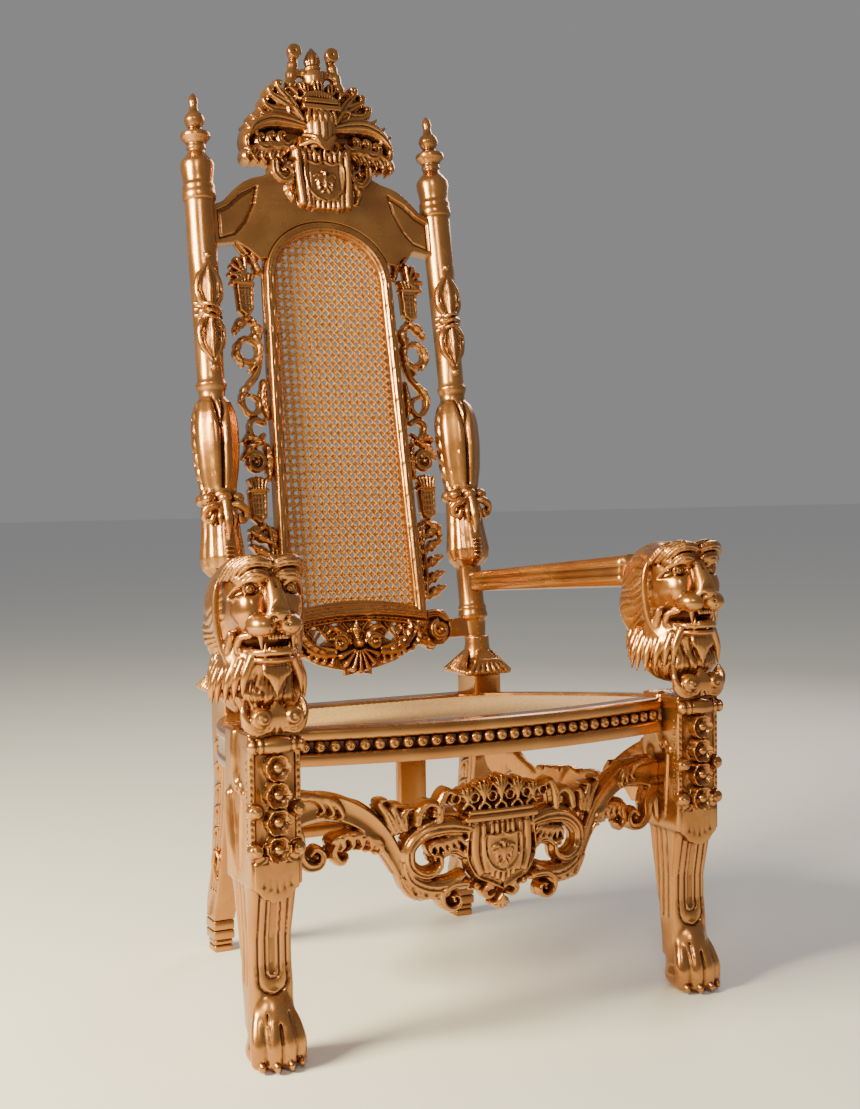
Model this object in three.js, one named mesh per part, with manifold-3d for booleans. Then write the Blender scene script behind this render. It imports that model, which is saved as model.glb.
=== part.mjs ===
// A carved lion throne: two front legs with lion heads, raked back posts with turned finials,
// a caned back under a carved crest, and a caned seat with a beaded front rail and scrolled stretchers.
// Millimetres, +Z up, the front faces -Y. The origin is on the floor, under the middle of the whole.

import * as THREE from 'three';
import { mergeVertices } from 'three/addons/utils/BufferGeometryUtils.js';
import Module from 'manifold-3d';

const wasm = await Module();
wasm.setup();

// Driving sizes of the whole

const GAP = 0.3;                  // clearance where two pieces meet
const LEG_X = 404.5;              // middle of a front leg, from the middle of the throne
const LEG_HALF = 44;              // half the width of a front leg's block
const LEG_FRONT = -24;            // front face of the block
const LEG_BACK = 88;              // back face of the block
const FOOT_HALF = 21.5;           // half the width of a back foot
const POST_X = 269.5;             // middle of a back post at arm height
const RAKE = THREE.MathUtils.degToRad(9.23);
const LEAN = THREE.MathUtils.degToRad(0.46);
const BACK_FOOT_LINE = 470.2;     // where the line of the back would meet the floor
const POST_BLOCK_HALF = 30;       // the square block under the bell collar
const POST_BLOCK_FRONT = 512;
const POST_BLOCK_BACK = 590;
const RAIL_TOP = 531;
const RAIL_BOTTOM = 469;
const RAIL_BOW = 50;              // how far the front rail swells forward
const RAIL_END_FRONT = 18;        // front face of the front rail at its ends
const RAIL_DEPTH = 58;
const SEAT_FALL = 40;             // how much lower the seat is at the back
const ARM_HALF_WIDTH = 27;
const FRAME_OUTER_TOP = 1470;     // top of the moulding round the back's cane
const FRAME_HALF_TOP = 141;
const FRAME_HALF_BOTTOM = 154;
const FRAME_FACE = 24;            // width of that moulding
const FRAME_FRONT = -22;
const FRAME_BACK = 16;

// Solids: joined and cut as closed bodies

// Shares the corners of a closed shape, before it is moved, so that it stays closed.
function sealed(geometry) {
  geometry.deleteAttribute('normal');
  geometry.deleteAttribute('uv');
  return mergeVertices(geometry, 1e-4);
}

function solidOf(geometry) {
  const corners = [];
  const index = geometry.index.array;
  for (let i = 0; i < index.length; i += 3) {
    const [a, b, c] = [index[i], index[i + 1], index[i + 2]];
    if (a !== b && b !== c && c !== a) corners.push(a, b, c);
  }
  return new wasm.Manifold(new wasm.Mesh({
    numProp: 3,
    vertProperties: Float32Array.from(geometry.attributes.position.array),
    triVerts: Uint32Array.from(corners),
  }));
}

function joined(geometries) {
  return geometries.map(solidOf).reduce((whole, next) => whole.add(next));
}

function cutBy(solid, ...cutters) {
  return cutters.reduce((left, cutter) => left.subtract(cutter), solid);
}

function geometryOf(solid) {
  const mesh = solid.getMesh();
  const geometry = new THREE.BufferGeometry();
  geometry.setAttribute('position', new THREE.BufferAttribute(Float32Array.from(mesh.vertProperties), 3));
  geometry.setIndex(new THREE.BufferAttribute(Uint32Array.from(mesh.triVerts), 1));
  return geometry;
}

// Reverses the winding of a geometry that was mirrored by its placing.
function flipped(geometry) {
  geometry.index.array.reverse();
  return geometry;
}

// The same solid on the other side of the middle
function mirroredSolid(solid) {
  const geometry = geometryOf(solid).scale(-1, 1, 1);
  return solidOf(flipped(geometry));
}

function biggestBody(solid) {
  return solid.decompose().reduce((best, body) => (body.volume() > best.volume() ? body : best));
}

// Basic shapes

const mix = THREE.MathUtils.lerp;
const ramp = THREE.MathUtils.smoothstep;

function curveThrough(points) {
  return new THREE.CatmullRomCurve3(points, false, 'centripetal');
}

// A cylinder whose every point is placed by a function of angle, rise (0 to 1) and radius (0 or 1).
function loft(sides, levels, place) {
  const geometry = sealed(new THREE.CylinderGeometry(1, 1, 1, sides, levels));
  geometry.rotateX(Math.PI / 2);
  const position = geometry.attributes.position;
  for (let i = 0; i < position.count; i += 1) {
    const [x, y, z] = [position.getX(i), position.getY(i), position.getZ(i)];
    const radius = Math.hypot(x, y) > 0.5 ? 1 : 0;
    const point = place(Math.atan2(y, x), z + 0.5, radius);
    position.setXYZ(i, point.x, point.y, point.z);
  }
  return geometry;
}

// Which corner of a ring lies at an angle, counted from -Y through +X
function cornerAt(angle, count) {
  return Math.round(((angle + Math.PI / 2) / (2 * Math.PI)) * count + count) % count;
}

// A point on a rounded square: power 2 is a circle, higher powers are squarer.
function roundedSquare(angle, power) {
  const [c, s] = [Math.cos(angle), Math.sin(angle)];
  const round = (value) => Math.sign(value) * Math.abs(value) ** (2 / power);
  return [round(c), round(s)];
}

// A column of rounded-square sections: [height, half width, front y, back y, power].
function column(sections, sides, shape = () => 0) {
  const levels = sections.length - 1;
  return loft(sides, levels, (angle, rise, radius) => {
    const [height, half, front, back, power] = sections[Math.round(rise * levels)];
    const [c, s] = roundedSquare(angle, power);
    const carved = 1 - shape(angle, height);
    const x = half * c * radius * carved;
    const y = (front + back) / 2 + ((back - front) / 2) * s * radius * carved;
    return new THREE.Vector3(x, y, height);
  });
}

// A column of plain rectangles: [height, half width, front y, back y].
function tapered(sections) {
  const levels = sections.length - 1;
  const corners = [[-1, 0], [1, 0], [1, 1], [-1, 1]];
  return loft(4, levels, (angle, rise, radius) => {
    const [height, half, front, back] = sections[Math.round(rise * levels)];
    const [across, deep] = radius ? corners[cornerAt(angle, 4)] : [0, 0.5];
    return new THREE.Vector3(across * half, mix(front, back, deep), height);
  });
}

function lump(x, y, z, rx, ry, rz, around = 8, up = 6) {
  const geometry = sealed(new THREE.SphereGeometry(1, around, up));
  geometry.rotateX(Math.PI / 2);
  geometry.scale(rx, ry, rz);
  geometry.translate(x, y, z);
  return geometry;
}

function block(x0, x1, y0, y1, z0, z1) {
  const geometry = sealed(new THREE.BoxGeometry(Math.abs(x1 - x0), y1 - y0, z1 - z0));
  geometry.translate((x0 + x1) / 2, (y0 + y1) / 2, (z0 + z1) / 2);
  return geometry;
}

// A turned shape about +Z from [radius, height] pairs, upwards, closed on the axis.
function turned(profile, sides) {
  const points = profile.map(([radius, height]) => new THREE.Vector2(radius, height));
  const geometry = sealed(new THREE.LatheGeometry(points, sides));
  geometry.rotateX(Math.PI / 2);
  return geometry;
}

// A flat board drawn in x and z, from a back y towards the front.
function board(outline, back, thickness) {
  const shape = new THREE.Shape(outline.map(([x, z]) => new THREE.Vector2(x, z)));
  const geometry = sealed(new THREE.ExtrudeGeometry(shape, { depth: thickness, bevelEnabled: false }));
  geometry.rotateX(Math.PI / 2);
  geometry.translate(0, back, 0);
  return geometry;
}

// A board with holes, each given by its outline
function piercedBoard(outline, back, thickness, holes) {
  const cutters = holes.map((hole) => solidOf(board(hole, back + 1, thickness + 2)));
  return geometryOf(cutBy(solidOf(board(outline, back, thickness)), ...cutters));
}

// A tapered band along a curve in the x-z plane, with a raised middle: scrolls, stems and leaves.
function band(points, widthAt, back, thickness, steps) {
  const curve = curveThrough(points.map(([x, z]) => new THREE.Vector3(x, 0, z)));
  const corners = [[-1, 0], [1, 0], [0.45, 1], [-0.45, 1]];
  return loft(4, steps, (angle, rise, radius) => {
    const centre = curve.getPointAt(rise);
    const along = curve.getTangentAt(rise);
    const [across, front] = radius ? corners[(cornerAt(angle, 4) + 1) % 4] : [0, 0.5];
    const offset = across * widthAt(rise) * 0.5;
    const [x, z] = [centre.x - along.z * offset, centre.z + along.x * offset];
    return new THREE.Vector3(x, back - front * thickness, z);
  });
}

const taper = (start, end) => (rise) => mix(start, end, rise);

const mirrored = (outline) => outline.map(([x, z]) => [-x, z]);
const symmetric = (half) => [...half, ...mirrored(half).reverse().filter(([x]) => x !== 0)];
const bothSides = (make) => [make((outline) => outline), make(mirrored)];

// Materials

const LACQUER = { color: 0xa9703a, roughness: 0.32, metalness: 0.45 };
const CANE = { color: 0xc98a45, roughness: 0.7, metalness: 0.0 };

const throne = new THREE.Group();

function addPiece(name, solid, finish, side = 1) {
  const mesh = new THREE.Mesh(geometryOf(solid), new THREE.MeshStandardMaterial(finish));
  mesh.name = name;
  mesh.scale.x = side;
  throne.add(mesh);
  return mesh;
}

// Front legs: paw, fluted shank, flowered block, leaf collar and lion head, carved as one

const PAW_TOP = 95;
const SHANK_TOP = 300;
const TONGUE_TIP = 262;
const BLOCK_TOP = 536;
const FLOWER_HEIGHTS = [482, 439, 396, 353];
const FLOWER_RADIUS = 21;
const KNOB_HEIGHTS = [412, 352];
const SPOOL_HEIGHT = 517;
const ARM_FRONT_Y = 168;
const ARM_FRONT_X = 400;
const ARM_BACK_X = 277;
const ARM_FRONT_HEIGHTS = [722, 784];
const ARM_BACK_HEIGHTS = [697, 738];

function shankFlutes(angle, height) {
  const inside = ramp(height, 112, 128) * (1 - ramp(height, 284, 292));
  const flute = 0.5 - 0.5 * Math.cos(angle * 8 + Math.PI);
  return inside * 0.08 * flute;
}

function paw() {
  const toes = (angle, height) => {
    const front = angle < 0 ? Math.abs(Math.sin(angle)) : 0;
    return front * 0.13 * (0.5 + 0.5 * Math.cos(angle * 6)) * (1 - ramp(height, 40, 90));
  };
  return column([
    [0, 42, -48, 38, 2.8], [18, 47, -56, 41, 2.8], [44, 46, -52, 41, 2.8], [70, 40, -30, 46, 3],
    [PAW_TOP + 8, 36, -6, 50, 3.4],
  ], 12, toes);
}

function shank() {
  return column([
    [PAW_TOP, 36, -4, 51, 4], [126, 37, -2, 55, 4], [185, 36.5, 3, 66, 4], [245, 38.5, -5, 76, 4],
    [SHANK_TOP, 42, -18, 80, 4],
  ], 16, shankFlutes);
}

function legBlock() {
  return tapered([
    [SHANK_TOP - 8, LEG_HALF - 3, LEG_FRONT + 4, LEG_BACK - 8],
    [SHANK_TOP + 24, LEG_HALF, LEG_FRONT, LEG_BACK],
    [BLOCK_TOP, LEG_HALF, LEG_FRONT, LEG_BACK],
  ]);
}

function tongue() {
  const scallops = 5;
  const half = 37;
  const outline = [[-half, 346]];
  for (let i = 0; i <= scallops; i += 1) {
    const x = mix(-half, half, i / scallops);
    const hang = TONGUE_TIP + 24 * (Math.abs(x) / half) ** 2;
    outline.push([x, hang + 6]);
    if (i < scallops) outline.push([x + half / scallops, hang - 2]);
  }
  outline.push([half, 346]);
  return board(outline, -4, 23);
}

function flower(height) {
  const cup = turned([[0, 0], [13, 0], [FLOWER_RADIUS, 13], [0, 17]], 6);
  cup.rotateX(Math.PI / 2);
  cup.translate(0, LEG_FRONT + 1, height);
  return cup;
}

function spool() {
  const half = [[0, -48], [11, -44], [7, -35], [13, -26]];
  const whole = [...half, ...half.toReversed().map(([radius, height]) => [radius, -height])];
  const roll = turned(whole, 5);
  roll.rotateY(Math.PI / 2);
  roll.translate(0, LEG_FRONT - 4, SPOOL_HEIGHT);
  return roll;
}

function neck() {
  const fur = (angle, height) => 0.05 * Math.cos(angle * 5 + height * 0.09);
  return column([
    [BLOCK_TOP - 3, 44, -24, 86, 5], [552, 50, -34, 94, 4], [602, 72, -30, 108, 2.6],
    [640, 64, -10, 120, 2.4],
  ], 10, fur);
}

const collarCurls = () => [-27, 27].map((x) => lump(x, -38, 564, 20, 18, 18, 6, 3));

// One ring of the lion's head, from the front centre round to the back: a narrow muzzle,
// the cheeks, then the ridge where the mane stands out.
function headRing(front, muzzle, cheek, mane, rear) {
  const half = [
    [muzzle, front + 6], [muzzle + 3, front + 34], [cheek, 24], [mane, 42], [mane + 2, 92],
    [mane * 0.74, mix(92, rear, 0.8)],
  ];
  return [[0, front + 4], ...half, [0, rear], ...half.toReversed().map(([x, y]) => [-x, y])];
}

// Height, then the ring's front, muzzle, cheek, mane and back
const HEAD = [
  [622, -10, 30, 56, 70, 118], [642, -36, 27, 50, 72, 131], [661, -50, 37, 48, 75, 146],
  [667, -12, 26, 46, 76, 148], [681, -12, 26, 47, 77, 153], [688, -50, 38, 49, 78, 156],
  [722, -62, 26, 56, 78, 164], [746, -43, 17, 57, 77, 164], [768, -33, 24, 56, 76, 158],
  [786, -40, 40, 55, 74, 148], [802, -36, 40, 52, 60, 134], [813, -8, 26, 36, 40, 108],
];

function lionHead() {
  const count = headRing(...HEAD[0].slice(1)).length;
  const skull = loft(count, HEAD.length - 1, (angle, rise, radius) => {
    const [height, ...sizes] = HEAD[Math.round(rise * (HEAD.length - 1))];
    const turn = cornerAt(angle, count);
    const [x, y] = radius ? headRing(...sizes)[turn] : [0, 50];
    return new THREE.Vector3(x, y, height);
  });
  const tuft = lump(0, -32, 628, 17, 14, 32, 5, 4);
  const eyes = [-1, 1].map((side) => lump(side * 38, -2, 762, 10, 12, 9, 5, 3));
  const locks = [-1, 1].map((side) => lump(side * 26, -18, 800, 26, 25, 14, 5, 3));
  return [skull, tuft, ...eyes, ...locks];
}

// The arm's section, swept from its front end to its back end; a share runs from 0 to 1 between them.
const ARM_BACK_Y = 563;

function armLength(from, to) {
  const levels = 1;
  const corners = [[-1, -1], [1, -1], [1, -0.3], [0.84, -0.1], [1, 0.3], [0.86, 1], [-0.86, 1], [-1, 0.3],
    [-0.84, -0.1], [-1, -0.3]];
  return loft(corners.length, levels, (angle, rise, radius) => {
    const share = mix(from, to, rise);
    const turn = cornerAt(angle, corners.length);
    const [across, up] = radius ? corners[turn] : [0, 0];
    const low = mix(ARM_FRONT_HEIGHTS[0], ARM_BACK_HEIGHTS[0], share);
    const high = mix(ARM_FRONT_HEIGHTS[1], ARM_BACK_HEIGHTS[1], share);
    const half = ARM_HALF_WIDTH * mix(1.15, 0.95, share);
    const x = mix(ARM_FRONT_X, ARM_BACK_X, share) - across * half;
    return new THREE.Vector3(x, mix(ARM_FRONT_Y, ARM_BACK_Y, share), mix(low, high, up * 0.5 + 0.5));
  });
}

const armStub = armLength(-0.16, 0);
armStub.translate(-LEG_X, 0, 0);

const knobs = KNOB_HEIGHTS.flatMap((z) => [-36, 36].map((x) => lump(x, LEG_FRONT - 4, z, 12, 14, 12, 5, 3)));
const legParts = [
  shank(), legBlock(), tongue(), spool(), neck(), ...collarCurls(), ...lionHead(),
  ...FLOWER_HEIGHTS.map(flower), ...knobs,
];
const frontLeg = joined([paw(), ...legParts, armStub]);

// A back post, from the foot to the finial, in one piece

const POST_PROFILE = [
  [0, 575], [23, 575], [24, 634], [30.5, 646], [30.5, 662], [26, 668], [26, 1110], [30, 1118], [26, 1126],
  [28, 1240], [30, 1400], [30, 1490], [33, 1504], [30, 1522], [34, 1560], [17, 1584], [20, 1594], [17, 1602],
  [30, 1616], [12, 1635], [21, 1652], [9, 1670], [7, 1706], [0, 1709],
];

const POST_SIDES = 8;
const along = (height) => height / Math.cos(RAKE);   // a height, measured along the raked back
const raised = (outline) => outline.map(([x, z]) => [x, along(z)]);

const CONSOLE = { low: 747, waist: 822, beads: 892, shoulder: 1000, top: 1092 };

function consoleVase() {
  const widths = [
    [CONSOLE.low, 30, -34, 27], [CONSOLE.low + 34, 46, -52, 27], [CONSOLE.waist + 6, 38, -42, 27],
    [CONSOLE.beads + 12, 39, -40, 27], [CONSOLE.shoulder, 48, -52, 27], [1062, 43, -46, 27],
    [CONSOLE.top, 26, -26, 26],
  ];
  const sections = widths.map(([height, half, front, back]) => [along(height), half, front, back, 3]);
  const crease = (angle, height) => {
    const front = Math.abs(angle + Math.PI / 2);
    const upper = ramp(height, along(905), along(925)) * (1 - ramp(height, along(1070), along(1090)));
    return front < 0.2 ? upper * 0.26 : 0;
  };
  return column(sections, 8, crease);
}

function consoleTrim() {
  const beads = [-27, 0, 27].map((x) => lump(x, -34, along(CONSOLE.beads), 15, 17, 12, 5, 3));
  const volutes = [-1, 1].map((side) => lump(side * 30, -34, along(864), 14, 15, 13, 5, 3));
  const tongueLeaf = band([[0, along(880)], [0, along(812)]], taper(34, 8), -34, 16, 1);
  return [...beads, ...volutes, tongueLeaf];
}

function ribbonLeaves() {
  const knot = lump(0, -20, along(1260), 26, 18, 17, 5, 3);
  const blades = [-1, 1].map((side) => {
    const blade = band([[0, along(1266)], [0, along(1356)]], taper(26, 8), -22, 11, 1);
    return blade.rotateZ(side * 0.56);
  });
  return [knot, ...blades];
}

const postFrame = new THREE.Matrix4()
  .makeTranslation(POST_X, BACK_FOOT_LINE, 0)
  .multiply(new THREE.Matrix4().makeRotationX(-RAKE))
  .multiply(new THREE.Matrix4().makeTranslation(5.5, 0, 0))
  .multiply(new THREE.Matrix4().makeRotationY(-LEAN));

function upperPost() {
  const shaft = turned(raised(POST_PROFILE), POST_SIDES);
  shaft.rotateZ(Math.PI / POST_SIDES);
  const parts = [shaft, consoleVase(), ...consoleTrim(), ...ribbonLeaves()];
  return parts.map((part) => part.applyMatrix4(postFrame));
}

const postAxisY = (height) => BACK_FOOT_LINE + height * Math.tan(RAKE);

function armBlock() {
  const y = postAxisY(718);
  return block(POST_X - 27, POST_X + 27, y - 28, y + 26, 690, 745);
}

const ARM_JOINT_Y = postAxisY(718) - 28;

function bell() {
  const collar = column([
    [531, 54, -54, 54, 7], [539, 53, -53, 53, 7], [556, 34, -35, 35, 4], [584, 25, -26, 26, 2.4],
  ], 8);
  collar.translate(POST_X, postAxisY(556) - 3, 0);
  return collar;
}

// The leg below the seat sweeps back: [height, half width, front y, back y].
const LOWER_POST = [
  [60, 22, 622, 672], [100, 22, 604, 664], [177, 23, 574, 630], [250, 24, 550, 616], [343, 26, 527, 597],
  [440, POST_BLOCK_HALF, POST_BLOCK_FRONT, POST_BLOCK_BACK],
  [534, POST_BLOCK_HALF, POST_BLOCK_FRONT, POST_BLOCK_BACK],
];

function lowerPost() {
  const foot = block(-FOOT_HALF, FOOT_HALF, 622, 673, 22, 66);
  const sole = block(-FOOT_HALF + 2.5, FOOT_HALF - 2.5, 627, 666, 0, 24);
  return [tapered(LOWER_POST), foot, sole].map((part) => part.translate(POST_X, 0, 0));
}

const backPost = joined([...upperPost(), armBlock(), bell(), ...lowerPost()]);

// Arms

const armBackShare = (ARM_JOINT_Y - GAP - ARM_FRONT_Y) / (ARM_BACK_Y - ARM_FRONT_Y);
const armFrontShare = GAP / (ARM_BACK_Y - ARM_FRONT_Y);
const arm = solidOf(armLength(armFrontShare, armBackShare));

// The back between the posts, modelled upright and then raked

const back = new THREE.Group();
back.position.set(0, BACK_FOOT_LINE, 0);
back.rotation.x = -RAKE;
throne.add(back);

function addBackPiece(name, solid, finish, side = 1) {
  const mesh = addPiece(name, solid, finish, side);
  back.add(mesh);
}

const frameHalfAt = (height) => mix(FRAME_HALF_BOTTOM, FRAME_HALF_TOP, (height - 765) / (1298 - 765));
const FRAME_SPRING = 1330;        // where the sides turn into the arch
const FRAME_LOW_CORNER = 641;

// The outline of the caned opening, grown by an amount: straight sides, a round arch, an arched foot.
function archOutline(grow, footRise) {
  const outline = [];
  const footSteps = 4;
  const halfFoot = frameHalfAt(FRAME_LOW_CORNER) - FRAME_FACE + grow;
  for (let i = 0; i <= footSteps; i += 1) {
    const x = mix(-halfFoot, halfFoot, i / footSteps);
    outline.push([x, along(footRise + 16 * (1 - (x / halfFoot) ** 2))]);
  }
  const halfSpring = frameHalfAt(FRAME_SPRING) - FRAME_FACE + grow;
  const rise = FRAME_OUTER_TOP - FRAME_FACE - 12 + grow - FRAME_SPRING;
  const archSteps = 10;
  for (let i = 0; i <= archSteps; i += 1) {
    const angle = (i / archSteps) * Math.PI;
    outline.push([halfSpring * Math.cos(angle), along(FRAME_SPRING + rise * Math.sin(angle) ** 0.9)]);
  }
  return outline;
}

function backFrame() {
  const outer = archOutline(FRAME_FACE, FRAME_LOW_CORNER);
  const inner = archOutline(0, FRAME_LOW_CORNER + 31);
  const base = piercedBoard(outer, FRAME_BACK, FRAME_BACK - FRAME_FRONT - 5, [inner]);
  const rimOut = archOutline(FRAME_FACE - 5, FRAME_LOW_CORNER + 5);
  const rimIn = archOutline(6, FRAME_LOW_CORNER + 24);
  const rim = piercedBoard(rimOut, FRAME_BACK - 6, FRAME_BACK - 6 - FRAME_FRONT, [rimIn]);
  return joined([base, rim]);
}

function backCane() {
  return solidOf(board(archOutline(-GAP, FRAME_LOW_CORNER + 31 + GAP), 5, 7));
}

// The crest: two panelled wings, a shield, a crown with horns, and leaf plumes

const CREST_BACK = 14;
const WING_FRONT = -18;

// Half of the crest's board, from the middle of its foot out along the wing and up the plumes
const CREST_HALF = [
  [0, 1440], [120, 1380], [150, 1372], [195, 1406], [244, 1398], [244, 1477], [222, 1487], [196, 1512],
  [165, 1534], [131, 1545], [110, 1562], [136, 1564], [142, 1578], [156, 1578], [158, 1594], [170, 1604],
  [166, 1638], [150, 1664], [146, 1686], [128, 1688], [128, 1708], [98, 1712], [92, 1742], [80, 1742],
  [60, 1700], [0, 1694],
];
const CREST_EYE = [[90, 1566], [100, 1572], [106, 1562], [98, 1554]];   // pierced under each plume

function crestBoard() {
  const holes = bothSides((place) => raised(place(CREST_EYE)));
  return piercedBoard(raised(symmetric(CREST_HALF)), CREST_BACK, CREST_BACK - WING_FRONT, holes);
}

function wingPanel(side) {
  const outline = [
    [232, 1470], [210, 1482], [180, 1508], [142, 1526], [152, 1484], [190, 1420], [232, 1408],
  ];
  return solidOf(board(raised(side > 0 ? outline : mirrored(outline)), WING_FRONT + 5, 20));
}

function crestShield() {
  const outline = [[0, 1479], [40, 1486], [58, 1492], [66, 1600], [30, 1606], [0, 1596]];
  const field = board(raised(symmetric(outline)), 0, 30);
  const reeds = [-50, 50].map((x) => band(raised([[x, 1598], [x * 0.96, 1490]]), taper(17, 16), -26, 9, 1));
  const small = board(raised(symmetric([[0, 1498], [34, 1520], [34, 1578]])), -20, 18);
  return [field, ...reeds, small];
}

function helmet() {
  const dome = column([
    [along(1598), 34, -44, 10, 2], [along(1628), 40, -52, 10, 2], [along(1684), 34, -42, 10, 2],
  ], 8);
  const bandAt = ([z, half]) => block(-half, half, -46, 8, along(z - 5), along(z + 5));
  const bands = [[1688, 42], [1701, 39]].map(bandAt);
  return [dome, ...bands];
}

function crown() {
  const tips = [-54, 0, 54].map((x) => {
    const top = 1760 - 26 * (Math.abs(x) / 60) ** 1.3;
    const width = (rise) => 46 * (0.5 + 0.5 * Math.sin(Math.PI * (0.1 + 0.75 * rise)));
    return band(raised([[x * 0.72, 1704], [x, 1728], [x * 1.06, top]]), width, -12, 26, 2);
  });
  const rim = board(raised([[-44, 1704], [44, 1704], [66, 1722], [-66, 1722]]), -6, 36);
  return [rim, ...tips];
}

function horns() {
  const waist = block(-44, 44, -22, 0, along(1762), along(1778));
  const knob = [[0, 1710], [24, 1718], [25, 1762], [14, 1786], [19, 1799], [0, 1827]];
  const onion = turned(raised(knob), 6);
  onion.translate(0, -11, 0);
  const pair = [-1, 1].flatMap((side) => {
    const path = new THREE.LineCurve3(
      new THREE.Vector3(side * 62, -11, along(1706)), new THREE.Vector3(side * 40, -11, along(1800)));
    const rings = 2;
    const horn = loft(5, rings, (angle, rise, radius) => {
      const centre = path.getPoint(rise);
      const r = (mix(13, 8.5, rise) + (Math.round(rise * rings) % 2 ? 1.8 : -0.8)) * radius;
      return new THREE.Vector3(centre.x + r * Math.cos(angle), centre.y + r * Math.sin(angle), centre.z);
    });
    const ball = lump(side * 41, -13, along(1811), 15.5, 15.5, 14.5, 6, 3);
    return [horn, ball];
  });
  return [waist, onion, ...pair];
}

function plumes() {
  const sprays = [
    { path: [[34, 1648], [96, 1676], [142, 1662], [158, 1640]], width: 34, steps: 2 },
    { path: [[56, 1620], [104, 1626], [140, 1610], [152, 1584]], width: 38, steps: 2 },
    { path: [[44, 1664], [82, 1690], [96, 1714], [84, 1734]], width: 30, steps: 2 },
  ];
  const leaves = sprays.flatMap((spray) => bothSides((place) => band(
    raised(place(spray.path)), taper(spray.width, spray.width * 0.5), 0, 36, spray.steps)));
  return leaves;
}

function crestRail() {
  const whole = joined([crestBoard(), ...crestShield(), ...helmet(), ...crown(), ...horns(), ...plumes()]);
  const frameRoom = solidOf(board(archOutline(FRAME_FACE + GAP, FRAME_LOW_CORNER), 80, 160));
  return biggestBody(cutBy(whole, frameRoom, wingPanel(1), wingPanel(-1), postRoom(1), postRoom(-1)));
}

// A post's room in the frame of the back, for cutting what meets it
function postRoom(side) {
  const grown = POST_PROFILE.map(([radius, height]) => [radius && radius + 1.4 * GAP, height]);
  const room = turned(raised(grown), POST_SIDES);
  room.rotateZ(Math.PI / POST_SIDES);
  room.rotateY(-LEAN);
  room.translate(POST_X + 5.5, 0, 0);
  if (side < 0) room.rotateZ(Math.PI);
  return solidOf(room);
}

// Pierced side strips: scrolls, leaf fans, small shields and crowns, joined to the moulding

const FRET_BACK = 10;
const FRET_FRONT = -12;

// The outer edge as [height, x], top down, with the scrolls' and leaves' tips
const FRET_EDGE = [
  [1446, 190], [1436, 209], [1402, 198], [1384, 214], [1364, 203], [1344, 213], [1320, 203], [1258, 202],
  [1232, 217], [1212, 206], [1186, 213], [1128, 192], [1086, 213], [1044, 190], [1008, 214], [994, 204],
  [972, 217], [932, 194], [912, 207], [848, 205], [836, 213], [818, 200], [804, 213], [788, 199], [770, 213],
  [752, 198], [736, 212], [720, 197], [704, 209], [684, 196],
];
// Each pierced place: its middle [x, height], half width, half height and slant
const FRET_HOLES = [
  [158, 1392, 7, 18, -0.7], [182, 1418, 7, 18, -0.8], [172, 1340, 7, 12, 0.5], [186, 1196, 9, 24, 0.3],
  [168, 1150, 6, 18, -0.3], [188, 1086, 9, 14, 0], [188, 984, 9, 20, 0.3], [168, 936, 6, 16, 0.2],
  [174, 790, 6, 22, 0.2],
];

function fret() {
  const thick = FRET_BACK - FRET_FRONT;
  const outer = FRET_EDGE.map(([z, x]) => [x, along(z)]);
  const inner = [[140, along(684)], [128, along(1346)], [118, along(1400)], [150, along(1440)]];
  const holes = FRET_HOLES.map(([x, z, wide, high, slant]) => [0, 1, 2, 3].map((i) => {
    const angle = (i / 4) * Math.PI * 2;
    const rise = high * Math.sin(angle);
    return [x + wide * Math.cos(angle) + slant * rise, along(z) + rise];
  }));
  const plain = piercedBoard([...outer, ...inner], FRET_BACK, thick, holes);
  const shields = [[182, 1288], [186, 874]].map(([x, z]) => board([
    [x - 15, along(z - 17)], [x, along(z - 27)], [x + 15, along(z - 17)], [x + 17, along(z + 38)],
    [x - 17, along(z + 38)],
  ], 0, thick - 5));
  return [plain, ...shields];
}

function fretPiece(crestSolid, railSolid) {
  const frameRoom = solidOf(board(archOutline(FRAME_FACE + GAP, FRAME_LOW_CORNER - GAP), 80, 160));
  const lowered = solidOf(geometryOf(crestSolid).translate(0, 0, -2 * GAP));
  const lifted = solidOf(geometryOf(railSolid).translate(0, 0, 2 * GAP));
  const cutters = [frameRoom, crestSolid, lowered, railSolid, lifted, postRoom(1)];
  return biggestBody(cutBy(joined(fret()), ...cutters));
}

// The lower back rail: an arched lattice over a shell, with scrolled ends

const LOWER_RAIL_HALF = [
  [0, 540], [46, 554], [84, 564], [114, 580], [130, 592], [148, 592], [158, 582], [172, 580], [180, 592],
  [194, 590], [212, 602], [262, 602], [262, 642], [216, 644], [206, 658], [176, 665], [156, 662], [156, 676],
  [0, 690],
];
const LOWER_RAIL_HOLES = [
  [[6, 618], [26, 636], [10, 650]], [[30, 652], [46, 640], [56, 652]], [[66, 622], [82, 606], [86, 626]],
  [[112, 640], [126, 626], [128, 638]],
];

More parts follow.
